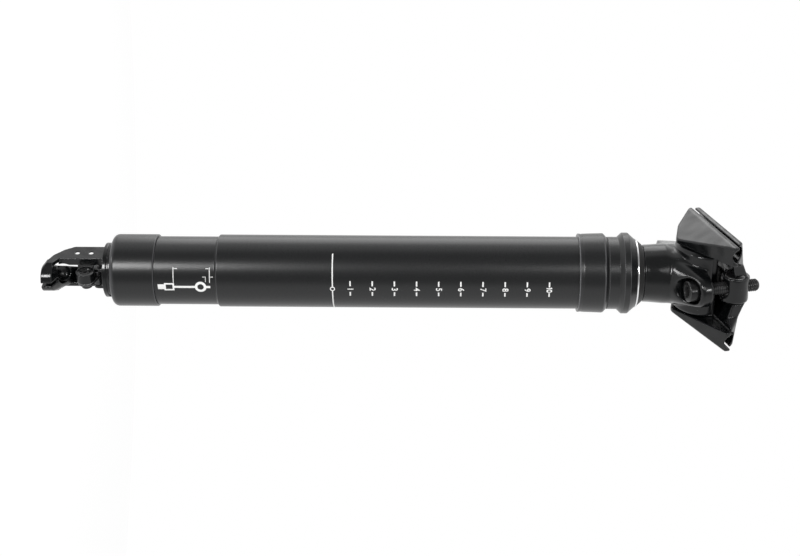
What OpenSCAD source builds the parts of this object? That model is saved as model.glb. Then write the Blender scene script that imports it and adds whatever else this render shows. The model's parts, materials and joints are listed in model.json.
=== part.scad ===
// Dropper seatpost with a sealed cartridge inside, a cable actuator under its end cap
// and a two bolt saddle clamp on its head. It is drawn fully lowered, in millimetres.
// Z runs up the post, +X points forward on the bicycle and +Y to the rider's left.
// The origin lies on the post's axis, at the lower face of the collar.

/* [Outer tube] */
// Diameter that slides into the frame's seat tube
tube_d = 34.9; // [34.5:0.1:35.5]
// Length of that diameter below the collar
tube_len = 172.4; // [165:0.2:180]
// Wall of the tube round the bore that the stanchion runs in
tube_wall = 2.45; // [2.3:0.05:2.6]
// How far the foot is turned down, on its radius
foot_cut = 1; // [0.7:0.05:1.1]
// Length of the turned down foot
foot_len = 29.6; // [27:0.2:33]
// Length of the thread under the foot
thread_len = 11; // [9:0.5:13]
// How far the collar stands out from the tube
collar_reach = 1.65; // [1.3:0.05:2]
// Height of the collar
collar_h = 13.9; // [13:0.1:15]

/* [End cap] */
// How far the end cap lies inside the tube's diameter
cap_inset = 0.05; // [0:0.05:0.3]
// Thickness of the end cap's floor
cap_floor = 9.5; // [8:0.5:12]
// Radius of the end cap's lower edge
cap_edge_r = 3; // [1:0.5:4]
// Height of the flat seal on the end cap's floor
cap_seal_h = 1; // [0.8:0.1:1.4]
// Height of the rubber bumper on the floor
bumper_h = 4.5; // [3:0.5:6]
// Gap between the bumper and the lowered stanchion
bumper_gap = 0.8; // [0.3:0.1:1.5]

/* [Seal head] */
// How far the seal head's bulge stands out from the collar
bulge_reach = 0.5; // [0.2:0.1:0.9]
// How far the seal head's lower ring lies inside the collar
seal_ring_in = 1.6; // [1.3:0.1:1.8]
// Height of the seal head above the collar
seal_h = 13.7; // [13:0.1:15]
// Length of the seal head's spigot inside the collar
seal_spigot_len = 11; // [10:0.5:12]
// Wall of that spigot
seal_spigot_wall = 1; // [0.9:0.1:1.3]
// Length of the upper bushing
upper_bushing_len = 14; // [12:0.5:15]
// Height of the wiper's body in its pocket
wiper_body_h = 5.4; // [4.5:0.1:6]
// Height of the wiper's lip above the bright ring
wiper_lip_h = 2.55; // [2:0.05:3.5]
// How far the bright ring under the lip stands out from the stanchion
wiper_reach = 2.95; // [2.7:0.05:3.2]
// Height of the bright ring
wiper_ring_h = 0.75; // [0.6:0.05:1]

/* [Stanchion] */
// Gap between the stanchion and the tube's bore, which the bushings fill
bush_gap = 1.4; // [1.3:0.05:1.5]
// Wall of the stanchion
stanchion_wall = 1.9; // [1.7:0.1:2.1]
// Stroke of the post
travel = 150; // [140:1:160]
// Length of the lower bushing
lower_bushing_len = 15; // [12:1:18]
// Length of a guide key
key_len = 20; // [14:1:24]
// Width of a guide key
key_w = 3; // [2.4:0.2:3.6]
// How far a guide key stands into the outer tube's wall
key_reach = 0.5; // [0.4:0.05:0.6]
// Number of guide keys
key_count = 3; // [2:1:4]

/* [Cartridge] */
// Gap between the cylinder and the stanchion
cylinder_gap = 0.7; // [0.5:0.05:0.9]
// Wall of the cylinder
cylinder_wall = 1.2; // [1:0.1:1.5]
// Diameter of the hollow shaft
shaft_d = 10; // [9:0.5:11]
// Diameter of the valve rod inside the shaft
rod_d = 4; // [3.4:0.2:4.6]
// Length of the gland in the cylinder's lower end
gland_h = 9; // [8:0.5:11]
// Length of the main piston
piston_h = 9; // [8:0.5:11]
// Room for the valve between the two pistons
valve_room = 7; // [6:0.5:9]
// Length of the floating piston
floating_h = 7; // [6:0.5:9]
// Length of the gas space above the floating piston
gas_len = 24; // [20:1:27]
// Length of the top plug in the cylinder
plug_h = 8; // [6:0.5:9]

/* [Saddle head] */
// How far the head's neck stands out from the stanchion
neck_step = 0.3; // [0.2:0.05:0.6]
// How far the neck widens up to its flare, on its radius
neck_swell = 0.7; // [0.4:0.05:1]
// Height of the neck
neck_h = 11.5; // [10:0.5:13]
// Height of the tilt axis above the foot of the neck
axis_h = 32; // [31:0.5:34]
// Radius of the trough that the cradle tilts in
trough_r = 12; // [11.4:0.1:12.6]
// Wall of the trough
trough_wall = 4.4; // [4:0.1:5]
// Width of the head across the trough
yoke_w = 33; // [31:0.5:33.5]
// Radius of the rear bolt's ear
rear_ear_r = 8.2; // [7.8:0.1:8.8]
// Radius of the front bolt's ear
front_ear_r = 7.7; // [7.6:0.1:8.4]
// How far the front ear's bolt seat lies in front of the post's axis
front_seat_x = 20.2; // [19.8:0.1:21]
// How far the front bolt's seat lies below the tilt axis
front_seat_drop = 14.7; // [13.5:0.1:16]
// How far the rear ear's bolt seat lies behind the post's axis
rear_seat_x = 18.9; // [18:0.1:20]
// How far the rear bolt's seat lies below the tilt axis
rear_seat_drop = 5.7; // [5:0.1:6.5]
// How far the trough's rim lies below the rails, square to them
rim_drop = 5; // [4.6:0.1:5.6]

/* [Saddle clamp] */
// Diameter of the saddle rails
rail_d = 7; // [6.8:0.1:7.2]
// Distance between the two rails
rail_gauge = 44; // [43.5:0.5:45]
// Gap between the upper and the lower clamp
clamp_gap = 1.2; // [0.8:0.1:1.6]
// Angle of the rails to a plane square to the post
rail_tilt = 16.7; // [15:0.1:18]
// Length of the lower clamp in front of the tilt axis
lip_front = 20.7; // [19:0.1:23]
// Length of the lower clamp behind the tilt axis
lip_rear = 31; // [29:0.5:32]
// Width of the clamp's lip outside a rail's axis
lip_out = 4.7; // [4.4:0.1:5.4]
// Gap between the head and the clamp's side plates
plate_gap = 0.6; // [0.4:0.1:1]
// Depth of the side plates below the rails' axes
plate_drop = 16.5; // [15:0.5:18]
// Distance of each barrel nut from the tilt axis along the rails
nut_spread = 17.4; // [17:0.1:18]
// Height of the barrel nuts above the rails' axes
nut_rise = 6.1; // [6:0.1:7]
// Diameter of a barrel nut
nut_d = 10; // [9.6:0.1:10.4]
// Length of a barrel nut
nut_len = 12.4; // [11:0.2:14]
// Wall of the upper clamp round a barrel nut
boss_wall = 1.6; // [1.2:0.1:2]

/* [Bolts] */
// Diameter of the clamp bolts
bolt_d = 6; // [5.6:0.1:6.2]
// Length of the clamp bolts under the head
bolt_len = 30; // [29:0.5:32]
// Diameter of a bolt's head
bolt_head_d = 10; // [9.4:0.1:10.4]
// Height of a bolt's head
bolt_head_h = 6; // [5:0.5:6.5]
// Width across the flats of a bolt's socket
bolt_socket = 5; // [4:0.5:6]
// Thickness of a washer
washer_h = 1; // [0.8:0.1:1.4]

/* [Actuator] */
// Turn of the actuator about the post's axis
actuator_turn = 100.2; // [0:0.1:360]
// Diameter of the lock ring
lock_ring_d = 27.6; // [26.8:0.1:28.4]
// Height of the lock ring
lock_ring_h = 1.9; // [1.5:0.1:2.4]
// Diameter of the bracket's base
bracket_d = 26.4; // [25.4:0.1:27]
// Height of the bracket's base
bracket_base_h = 2; // [1.6:0.1:2.6]
// Half of the space between the cheeks
cheek_in = 7.3; // [7:0.1:7.8]
// Thickness of a cheek
cheek_t = 2; // [1.6:0.1:2.4]
// How far the cheeks reach away from the housing stop
cheek_far = 6.2; // [5.8:0.1:6.6]
// How far the upper cheek reaches towards the housing stop
cheek_near = 4.1; // [3.6:0.1:4.6]
// Radius of the cable housing stop
stop_r = 6.2; // [5.8:0.1:6.6]
// Depth of the housing stop's upper face under the base
stop_depth = 23.7; // [23:0.1:26]
// Height of the housing stop
stop_h = 5.1; // [4.9:0.1:6]
// Diameter of the bore for the cable housing's ferrule
ferrule_d = 6.1; // [5.6:0.1:6.4]
// Depth of that bore
ferrule_depth = 3.4; // [3:0.1:3.8]
// Diameter of the lever's pivot pin
pin_d = 2.5; // [2:0.1:2.8]
// Distance of the pivot from the post's axis
pivot_q = 3.4; // [3.4:0.1:3.6]
// Distance of the cable barrel from the post's axis
barrel_q = 8.8; // [8.8:0.1:9.4]
// Depth of the cable barrel under the base
barrel_depth = 8.5; // [8:0.1:9.2]
// Diameter of the cable barrel's head
barrel_d = 8.8; // [8:0.1:9.2]
// Thickness of the lever
lever_t = 1.4; // [1.2:0.1:2]

/* [Hidden] */
$fn = 96;

// Clearances: between pieces that stay put, between pieces that run, and past a cut
fit = 0.03;
run = 0.06;
cut = 1;

black = [0.05, 0.05, 0.055];
satin = [0.09, 0.09, 0.095];
rubber = [0.03, 0.03, 0.03];
steel = [0.62, 0.63, 0.65];
bright = [0.85, 0.86, 0.88];
brass = [0.78, 0.62, 0.3];
bronze = [0.45, 0.36, 0.24];

// Heights below the collar
z_foot = -tube_len;
z_cap_top = z_foot - foot_len;
z_tube_end = z_cap_top - thread_len;
z_cap_floor = z_tube_end - cap_seal_h;
z_cap_bottom = z_cap_floor - cap_floor;
z_ring_bottom = z_cap_bottom - lock_ring_h;
z_base = z_ring_bottom - bracket_base_h;
shaft_stub = 0.6;
z_shaft_end = z_base - shaft_stub;
rod_stub = 2.4;
z_rod_tip = z_shaft_end - rod_stub;
z_bumper_top = z_cap_floor + bumper_h;
z_stanchion_end = z_bumper_top + bumper_gap;

// Heights of the seal head and of the neck that comes down on it
z_socket = collar_h - seal_spigot_len;
z_seal_top = collar_h + seal_h;
z_pocket = z_seal_top - wiper_body_h;
z_ring_top = z_seal_top + wiper_ring_h;
z_wiper_top = z_ring_top + wiper_lip_h;
neck_gap = 0.3;
z_neck = z_wiper_top + neck_gap;
z_flare = z_neck + neck_h;
z_axis = z_neck + axis_h;

// Heights of the cartridge, from its lower end up
clip_inset = 1.6;
clip_h = 1.1;
z_clip = z_stanchion_end + clip_inset;
z_cylinder_end = z_clip + clip_h;
z_gland_top = z_cylinder_end + gland_h;
top_out_gap = 1.5;
z_piston = z_gland_top + travel + top_out_gap;
z_piston_top = z_piston + piston_h;
z_floating = z_piston_top + valve_room;
z_plug = z_floating + floating_h + gas_len;
z_spigot = z_plug + plug_h;

// Diameters that follow from others, from the tube inwards and then outwards
tube_bore = tube_d - 2 * tube_wall;
foot_d = tube_d - 2 * foot_cut;
thread_d = foot_d - 1;
cap_d = tube_d - 2 * cap_inset;
collar_d = tube_d + 2 * collar_reach;
seal_d = collar_d + 2 * bulge_reach;
seal_ring_d = collar_d - 2 * seal_ring_in;
stanchion_d = tube_bore - 2 * bush_gap;
wiper_ring_d = stanchion_d + 2 * wiper_reach;
neck_d = stanchion_d + 2 * neck_step;
neck_top_d = neck_d + 2 * neck_swell;
bushing_wall = 1.15;
seal_spigot_id = stanchion_d + 2 * bushing_wall;
seal_spigot_od = seal_spigot_id + 2 * seal_spigot_wall;
stanchion_id = stanchion_d - 2 * stanchion_wall;
cylinder_d = stanchion_id - 2 * cylinder_gap;
cylinder_id = cylinder_d - 2 * cylinder_wall;
shaft_bore = rod_d + 2 * run;
spigot_d = stanchion_id - 2 * fit;
stud_d = 8;

// Grooves: under the seal head, for the wiper, for the clip and for the cartridge's rings
o_ring_h = 0.5;
o_ring_in = 0.6;
wiper_rim = 0.8;
wiper_waist = 1.1;
clip_reach = 0.7;
ring_deep = 1.3;
ring_high = 2.2;

// Guide keys and the grooves that they run in
key_pocket = 0.9;
key_inner_r = stanchion_d / 2 - key_pocket;
key_outer_r = tube_bore / 2 + key_reach;
bushing_inset = 4;
z_lower_bushing = z_stanchion_end + bushing_inset;
z_keys = z_lower_bushing + lower_bushing_len + bushing_inset;
key_over_run = 3;

// Rail grooves and the plates beside the head
rail_y = rail_gauge / 2;
plate_in = yoke_w / 2 + plate_gap;
lip_y = rail_y + lip_out;
split = clamp_gap / 2;
bridge_r = trough_r - 0.08;
boss_r = nut_d / 2 + run + boss_wall;

// A point of the clamp, given along the rails and square to them
function clamp_point(along, up) = [
    along * cos(rail_tilt) + up * sin(rail_tilt),
    0,
    z_axis - along * sin(rail_tilt) + up * cos(rail_tilt)
];

rear_nut_at = clamp_point(-nut_spread, nut_rise);
front_nut_at = clamp_point(nut_spread, nut_rise);
rear_seat_at = [-rear_seat_x, 0, z_axis - rear_seat_drop];
front_seat_at = [front_seat_x, 0, z_axis - front_seat_drop];
rear_lean = atan2(rear_nut_at[0] - rear_seat_at[0], rear_nut_at[2] - rear_seat_at[2]);
front_lean = atan2(front_nut_at[0] - front_seat_at[0], front_nut_at[2] - front_seat_at[2]);
rear_reach = norm(rear_nut_at - rear_seat_at);
front_reach = norm(front_nut_at - front_seat_at);

// A bolt's head and washer hang under its seat, with room to rock
seat_gap = 0.45;
washer_top = -seat_gap;
head_top = washer_top - washer_h;
hole_play = 0.7;
head_play = 1.3;
swing_play = 1;
bolt_hole_r = bolt_d / 2 + hole_play;
counterbore_r = bolt_head_d / 2 + head_play;
bolt_swing_r = bolt_d / 2 + swing_play;

// Places in the actuator: p across the cheeks, q towards the housing stop, depth under the base
nose_r = 1.2;
hub_r = 2;
tip_d = 2.2;
lift_gap = 0.05;
rod_depth = z_base - z_rod_tip;
nose_depth = rod_depth + lift_gap + nose_r;
pivot_depth = nose_depth;
barrel_neck_d = 5.2;
lever_top = 0.1;
lever_bottom = lever_top - lever_t;
barrel_top = 5.1;
barrel_step = 0.3;
barrel_foot = lever_bottom - 2.2;
lug_r = hub_r + 0.15;
lug_t = 1.9;
lug_in = 5.4;
lug_p = 2.4;
lug_gap = 0.1;
cable_p = 1.2;
cable_d = 2;
grub_d = 4;
grub_foot = cable_p + cable_d / 2 + 0.1;
grub_inset = 0.2;
grub_socket = 2;
stop_foot = stop_depth + stop_h;
stop_edge = 2.2;
far_bend = stop_depth - 8.2;

// Round sleeve between two heights
module sleeve(d_out, d_in, z0, z1) {
    rotate_extrude()
        translate([d_in / 2, z0])
            square([(d_out - d_in) / 2, z1 - z0]);
}

// Round bar across the post, along Y
module cross_bar(r, w) {
    rotate([90, 0, 0])
        cylinder(r = r, h = w, center = true);
}

// Frame of the saddle clamp: X forward along the rails, Z square to them
module in_clamp() {
    translate([0, 0, z_axis])
        rotate([0, rail_tilt, 0])
            children();
}

// Frame of a bolt: Z along the bolt towards its nut, origin on the ear's seat
module on_bolt(seat, lean) {
    translate(seat)
        rotate([0, lean, 0])
            children();
}

// Frame of the actuator: X is p, Y is q and the base's lower face is at height 0
module in_actuator() {
    translate([0, 0, z_base])
        rotate([0, 0, actuator_turn])
            children();
}

// Outline given in q and height, thickened along p
module plate_along_p(p0, p1) {
    translate([p0, 0, 0])
        rotate([90, 0, 90])
            linear_extrude(p1 - p0)
                children();
}

// Round bar along p at a place of the actuator
module bar_along_p(r, q, depth, p0, p1) {
    translate([p0, q, -depth])
        rotate([0, 90, 0])
            cylinder(r = r, h = p1 - p0);
}

// Straight link between two round ends, in the plane of q and height
module link(a, ra, b, rb) {
    step = (b - a) / norm(b - a);
    side = [-step[1], step[0]];
    translate(a) circle(r = ra);
    translate(b) circle(r = rb);
    polygon([a + ra * side, b + rb * side, b - rb * side, a - ra * side]);
}

// Band with a groove for a sealing ring in its middle
module grooved_band(d_out, d_in, z0, z1, groove_d, groove_h) {
    z_mid = (z0 + z1) / 2;
    difference() {
        sleeve(d_out, d_in, z0, z1);
        sleeve(d_out + 2 * cut, groove_d, z_mid - groove_h / 2, z_mid + groove_h / 2);
    }
}

// Angles at which the guide keys stand
module at_keys() {
    for (i = [0 : key_count - 1])
        rotate([0, 0, 60 + i * 360 / key_count])
            children();
}

module outer_tube() {
    foot_step = 0.8;
    lip_h = 2;
    lip_in = 0.35;
    edge = 1.6;
    color(satin)
        difference() {
            rotate_extrude()
                polygon([
                    [tube_bore / 2, z_tube_end],
                    [thread_d / 2, z_tube_end],
                    [thread_d / 2, z_cap_top],
                    [foot_d / 2, z_cap_top],
                    [foot_d / 2, z_foot - foot_step],
                    [tube_d / 2, z_foot],
                    [tube_d / 2, 0],
                    [collar_d / 2, 0],
                    [collar_d / 2 - lip_in, lip_h],
                    [collar_d / 2 - lip_in / 2, lip_h + lip_in],
                    [collar_d / 2 + lip_in / 2, collar_h - edge],
                    [collar_d / 2 - edge, collar_h],
                    [seal_spigot_od / 2 + fit, collar_h],
                    [seal_spigot_od / 2 + fit, z_socket],
                    [tube_bore / 2, z_socket]
                ]);
            at_keys()
                translate([0, -key_w / 2 - run, z_tube_end - cut])
                    cube([
                        key_outer_r + run,
                        key_w + 2 * run,
                        z_keys + key_len + travel + key_over_run - z_tube_end + cut
                    ]);
        }
}

module seal_head() {
    ring_top = collar_h + 5.3;
    bulge_low = ring_top + 1.8;
    bulge_top = z_seal_top - 3;
    edge = 0.8;
    color(satin)
        rotate_extrude()
            polygon([
                [seal_spigot_id / 2, z_socket],
                [seal_spigot_od / 2, z_socket],
                [seal_spigot_od / 2, collar_h],
                [seal_ring_d / 2 - o_ring_in, collar_h],
                [seal_ring_d / 2 - o_ring_in, collar_h + o_ring_h],
                [seal_ring_d / 2, collar_h + o_ring_h],
                [seal_ring_d / 2, ring_top],
                [seal_d / 2 - edge, bulge_low - edge / 2],
                [seal_d / 2, bulge_low + edge / 2],
                [seal_d / 2, bulge_top - edge / 2],
                [seal_d / 2 - edge, bulge_top + edge / 2],
                [wiper_ring_d / 2, z_seal_top],
                [wiper_ring_d / 2 - wiper_rim, z_seal_top],
                [wiper_ring_d / 2 - wiper_rim, z_pocket],
                [stanchion_d / 2 + 4 * run, z_pocket],
                [stanchion_d / 2 + 4 * run, z_socket + upper_bushing_len],
                [seal_spigot_id / 2, z_socket + upper_bushing_len]
            ]);
}

module seal_head_o_ring() {
    inset = 0.15;
    color(rubber)
        sleeve(
            seal_ring_d - 2 * inset, seal_ring_d - 2 * o_ring_in + 2 * fit,
            collar_h + fit, collar_h + o_ring_h - fit
        );
}

module upper_bushing() {
    color(bronze)
        sleeve(
            seal_spigot_id - 2 * fit, stanchion_d + 2 * run,
            z_socket, z_socket + upper_bushing_len
        );
}

module wiper_seal() {
    body_r = wiper_ring_d / 2 - wiper_rim - fit;
    waist_r = stanchion_d / 2 + wiper_waist;
    lip_r = wiper_ring_d / 2 - 0.1;
    edge_r = stanchion_d / 2 + 0.4;
    bore_r = stanchion_d / 2 + run;
    color(rubber)
        rotate_extrude()
            polygon([
                [bore_r, z_pocket],
                [body_r, z_pocket],
                [body_r, z_seal_top],
                [waist_r, z_seal_top],
                [waist_r, z_ring_top],
                [lip_r, z_ring_top],
                [lip_r - 0.6, z_ring_top + 0.5],
                [edge_r, z_wiper_top],
                [bore_r, z_wiper_top]
            ]);
}

module wiper_ring() {
    color(bright)
        sleeve(wiper_ring_d, stanchion_d + 2 * wiper_waist + 2 * fit, z_seal_top, z_ring_top);
}

module end_cap() {
    arc_steps = 8;
    edge = 0.5;
    color(satin)
        rotate_extrude()
            polygon(concat(
                [
                    [shaft_d / 2 + fit, z_cap_floor],
                    [shaft_d / 2 + fit, z_cap_bottom]
                ],
                [for (i = [0 : arc_steps]) [
                    cap_d / 2 - cap_edge_r + cap_edge_r * sin(90 * i / arc_steps),
                    z_cap_bottom + cap_edge_r - cap_edge_r * cos(90 * i / arc_steps)
                ]],
                [
                    [cap_d / 2, z_cap_top - edge],
                    [cap_d / 2 - edge, z_cap_top],
                    [thread_d / 2 + fit, z_cap_top],
                    [thread_d / 2 + fit, z_cap_floor]
                ]
            ));
}

module end_cap_seal() {
    inset = 0.1;
    color(rubber)
        sleeve(thread_d - 2 * inset, tube_bore + 2 * inset, z_cap_floor, z_tube_end);
}

module bottom_out_bumper() {
    inset = 0.3;
    color(rubber)
        sleeve(stanchion_d - 2 * inset, shaft_d + inset, z_cap_floor, z_bumper_top);
}

module cartridge_shaft() {
    color(steel)
        sleeve(shaft_d, shaft_bore, z_shaft_end, z_piston + piston_h / 2);
}

module main_piston() {
    color(steel)
        difference() {
            grooved_band(
                cylinder_id - 2 * run, shaft_bore,
                z_piston, z_piston_top,
                cylinder_id - 2 * ring_deep, ring_high
            );
            translate([0, 0, z_piston - cut])
                cylinder(d = shaft_d + 2 * fit, h = piston_h / 2 + cut);
        }
}

module piston_ring() {
    z_mid = z_piston + piston_h / 2;
    color(rubber)
        sleeve(
            cylinder_id - run, cylinder_id - 2 * ring_deep + 2 * fit,
            z_mid - ring_high / 2 + fit, z_mid + ring_high / 2 - fit
        );
}

module shaft_lock_ring() {
    step = 0.6;
    notch_w = 3;
    notch_deep = 1.2;
    bore_d = shaft_d + 2 * fit;
    z_step = z_ring_bottom + lock_ring_h / 2;
    color(steel)
        difference() {
            union() {
                sleeve(lock_ring_d, bore_d, z_step, z_cap_bottom);
                sleeve(lock_ring_d - 2 * step, bore_d, z_ring_bottom, z_step);
            }
            for (i = [0 : 3])
                rotate([0, 0, 45 + 90 * i])
                    translate([lock_ring_d / 2 - notch_deep, -notch_w / 2, z_ring_bottom - cut])
                        cube([lock_ring_d, notch_w, lock_ring_h + 2 * cut]);
        }
}

// Outline of a cheek: its far edge bends round to the housing stop, its near edge is straight
module cheek_outline(near, end_q) {
    bend = [-cheek_far + 2.6, -far_bend - 4.6];
    toe = [end_q - 2.4, -stop_foot + stop_edge];
    bulge = [0, -1.2];
    polygon([
        [near, 0],
        [-cheek_far, 0],
        [-cheek_far, -far_bend],
        bend,
        (bend + toe) / 2 + bulge,
        toe,
        [end_q, -stop_foot + stop_edge],
        [end_q, -stop_depth],
        [near, -stop_depth + 2.5]
    ]);
}

// Lug under the base that carries one end of the pivot pin
module pivot_lug(p0, p1) {
    plate_along_p(p0, p1) {
        translate([pivot_q, -pivot_depth]) circle(r = lug_r);
        translate([pivot_q - lug_r, -pivot_depth]) square([2 * lug_r, pivot_depth]);
    }
}

// Housing stop, drawn out to a block at the end of a cheek or of the web
module stop_arm(corner, size) {
    hull() {
        translate([cable_p, barrel_q, -stop_foot])
            cylinder(r = stop_r, h = stop_h, $fn = 48);
        translate(corner)
            cube(size);
    }
}

module actuator_bracket() {
    lower_near = 0.8;
    web_t = 1.8;
    web_p = 1.6;
    web_end = 2;
    web_arm_p = -2.5;
    rim_t = 1.9;
    rim_w = 1.5;
    rim_len = 22;
    cheek_out = cheek_in + cheek_t;
    arm_h = stop_h - stop_edge;
    lace_d = 2;
    lace_lip = 0.4;
    lace_sink_r = 4;
    lace_q = -0.7;
    lace_depths = [6.8, 13.4];
    bowl_r = 5;
    bowl_q = barrel_q - 4.2;
    bowl_depth = stop_depth - 3.9;
    slot_w = 1.8;
    color(black)
        in_actuator()
            difference() {
                union() {
                    cylinder(d = bracket_d, h = bracket_base_h);
                    plate_along_p(cheek_in, cheek_out) cheek_outline(cheek_near, barrel_q - 1);
                    plate_along_p(-cheek_out, -cheek_in) cheek_outline(lower_near, barrel_q - 5.2);
                    translate([-cheek_out, -cheek_far, -far_bend])
                        cube([cheek_out + web_p, web_t, far_bend]);
                    translate([cheek_in - rim_t, cheek_near - rim_w, -rim_len])
                        cube([rim_t + cut, rim_w, rim_len]);
                    pivot_lug(-cheek_in, -lug_in);
                    pivot_lug(lug_p, lug_p + lug_t);
                    stop_arm([cheek_in, barrel_q - 4, -stop_foot + stop_edge], [cheek_t, 3, arm_h]);
                    stop_arm([-cheek_out, barrel_q - 7, -stop_foot + stop_edge], [cheek_t, 2.5, arm_h]);
                    stop_arm(
                        [-cheek_out, -cheek_far, -far_bend - web_end],
                        [cheek_out + web_arm_p, web_t, web_end]
                    );
                }
                translate([0, 0, -cut])
                    cylinder(d = shaft_d + 2 * fit, h = bracket_base_h + 2 * cut);
                translate([cable_p, barrel_q, -stop_foot - cut])
                    cylinder(d = ferrule_d, h = ferrule_depth + cut);
                translate([cable_p, barrel_q, -stop_foot])
                    cylinder(d = cable_d, h = stop_foot / 2);
                translate([cable_p, bowl_q, -bowl_depth])
                    sphere(r = bowl_r);
                translate([cable_p - slot_w / 2, barrel_q, -stop_foot - cut])
                    cube([slot_w, 2 * stop_r, stop_foot / 2]);
                for (d = lace_depths) {
                    bar_along_p(lace_d / 2, lace_q, d, cheek_in, cheek_out + cut);
                    translate([cheek_in - fit, lace_q, -d])
                        rotate([0, 90, 0])
                            cylinder(r1 = lace_sink_r, r2 = lace_d / 2, h = cheek_t + fit - lace_lip);
                }
                bar_along_p(
                    pin_d / 2 + fit, pivot_q, pivot_depth,
                    -cheek_in - cut, lug_p + lug_t + cut
                );
            }
}

module lever_pivot_pin() {
    color(steel)
        in_actuator()
            bar_along_p(pin_d / 2, pivot_q, pivot_depth, -cheek_in, lug_p + lug_t);
}

module stanchion() {
    color(black)
        difference() {
            sleeve(stanchion_d, stanchion_id, z_stanchion_end, z_neck);
            at_keys()
                translate([key_inner_r - fit, -key_w / 2 - fit, z_keys - fit])
                    cube([2 * key_pocket, key_w + 2 * fit, key_len + 2 * fit]);
            sleeve(stanchion_id + 2 * clip_reach, stanchion_id - cut, z_clip - fit, z_clip + clip_h);
        }
}

module guide_keys() {
    color(brass)
        at_keys()
            translate([key_inner_r, -key_w / 2, z_keys])
                cube([key_outer_r - key_inner_r, key_w, key_len]);
}

module lower_bushing() {
    color(bronze)
        sleeve(
            tube_bore - 2 * run, stanchion_d + 2 * fit,
            z_lower_bushing, z_lower_bushing + lower_bushing_len
        );
}

// Half round yoke under the trough, with its side edges broken, or a core inset from its faces
module yoke_blank(w, inset) {
    edge = 1.2;
    outer_r = trough_r + trough_wall - inset;
    in_clamp()
        intersection() {
            union() {
                cross_bar(outer_r, w - 2 * edge, $fn = 48);
                cross_bar(outer_r - edge, w, $fn = 48);
            }
            translate([-2 * outer_r, -w, -rim_drop - inset - 2 * outer_r])
                cube([4 * outer_r, 2 * w, 2 * outer_r]);
        }
}

// Ear round a bolt, drawn down into the root of the flare
module ear(seat, lean, r, z0, z1) {
    root_d = neck_top_d - 2;
    root_h = 6;
    root_sink = 0.4;
    hull() {
        on_bolt(seat, lean)
            translate([0, 0, z0])
                cylinder(r = r, h = z1 - z0, $fn = 48);
        translate([0, 0, z_flare - root_sink])
            cylinder(d = root_d, h = root_h, $fn = 48);
    }
}

// Hole for a bolt's shank, with the counterbore for its head and washer
module bolt_passage(depth) {
    translate([0, 0, -depth])
        cylinder(r = counterbore_r, h = depth);
    translate([0, 0, -depth])
        cylinder(r = bolt_hole_r, h = 2 * depth + bolt_len);
}

module saddle_head() {
    stud_room = 9.5;
    rear_ear_h = 3;
    rear_ear_lip = 2.2;
    front_ear_h = 4;
    tool_room = 16;
    flare_w = yoke_w * 2 / 3;
    flare_in = 0.3;
    color(black)
        difference() {
            union() {
                rotate_extrude()
                    polygon([
                        [0, z_spigot],
                        [spigot_d / 2, z_spigot],
                        [spigot_d / 2, z_neck],
                        [neck_d / 2, z_neck],
                        [neck_d / 2, z_neck + neck_h / 5],
                        [neck_top_d / 2, z_flare],
                        [0, z_flare]
                    ]);
                hull() {
                    translate([0, 0, z_flare - 2 * flare_in])
                        cylinder(d = neck_top_d - 2 * flare_in, h = flare_in, $fn = 48);
                    yoke_blank(flare_w, flare_in);
                }
                yoke_blank(yoke_w, 0);
                ear(rear_seat_at, rear_lean, rear_ear_r, -rear_ear_lip, rear_ear_h);
                ear(front_seat_at, front_lean, front_ear_r, head_top - bolt_head_h, front_ear_h);
            }
            in_clamp()
                cross_bar(trough_r, 2 * yoke_w);
            on_bolt(rear_seat_at, rear_lean) bolt_passage(tool_room);
            on_bolt(front_seat_at, front_lean) bolt_passage(tool_room);
            translate([0, 0, z_spigot - cut])
                cylinder(d = stud_d + 2 * fit, h = stud_room + cut);
        }
}

module cartridge_cylinder() {
    color(steel)
        sleeve(cylinder_d, cylinder_id, z_cylinder_end, z_spigot);
}

module cylinder_gland() {
    groove_d = shaft_d + 2 * ring_deep;
    z_mid = z_cylinder_end + gland_h / 2;
    color(steel)
        difference() {
            sleeve(cylinder_id - 2 * fit, shaft_d + 2 * run, z_cylinder_end, z_gland_top);
            sleeve(groove_d, shaft_d - cut, z_mid - ring_high / 2, z_mid + ring_high / 2);
        }
}

module gland_seal() {
    z_mid = z_cylinder_end + gland_h / 2;
    color(rubber)
        sleeve(
            shaft_d + 2 * ring_deep - 2 * fit, shaft_d + run,
            z_mid - ring_high / 2 + fit, z_mid + ring_high / 2 - fit
        );
}

module cartridge_top_plug() {
    stud_len = 8.5;
    color(steel)
        union() {
            translate([0, 0, z_plug])
                cylinder(d = cylinder_id - 2 * fit, h = plug_h);
            translate([0, 0, z_spigot - cut])
                cylinder(d = stud_d, h = stud_len + cut);
        }
}

module cylinder_clip() {
    gap_w = 6;
    color(steel)
        difference() {
            sleeve(
                stanchion_id + 2 * clip_reach - 2 * fit, cylinder_id - clip_reach,
                z_clip, z_clip + clip_h
            );
            translate([0, -gap_w / 2, z_clip - cut])
                cube([stanchion_d, gap_w, clip_h + 2 * cut]);
        }
}

module floating_piston() {
    hollow_d = cylinder_id - 8;
    floor_h = 3;
    color(brass)
        difference() {
            grooved_band(
                cylinder_id - 2 * run, 0,
                z_floating, z_floating + floating_h,
                cylinder_id - 2 * ring_deep, ring_high
            );
            translate([0, 0, z_floating + floor_h])
                cylinder(d = hollow_d, h = floating_h);
        }
}

module floating_piston_ring() {
    z_mid = z_floating + floating_h / 2;
    color(rubber)
        sleeve(
            cylinder_id - run, cylinder_id - 2 * ring_deep + 2 * fit,
            z_mid - ring_high / 2 + fit, z_mid + ring_high / 2 - fit
        );
}

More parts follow.
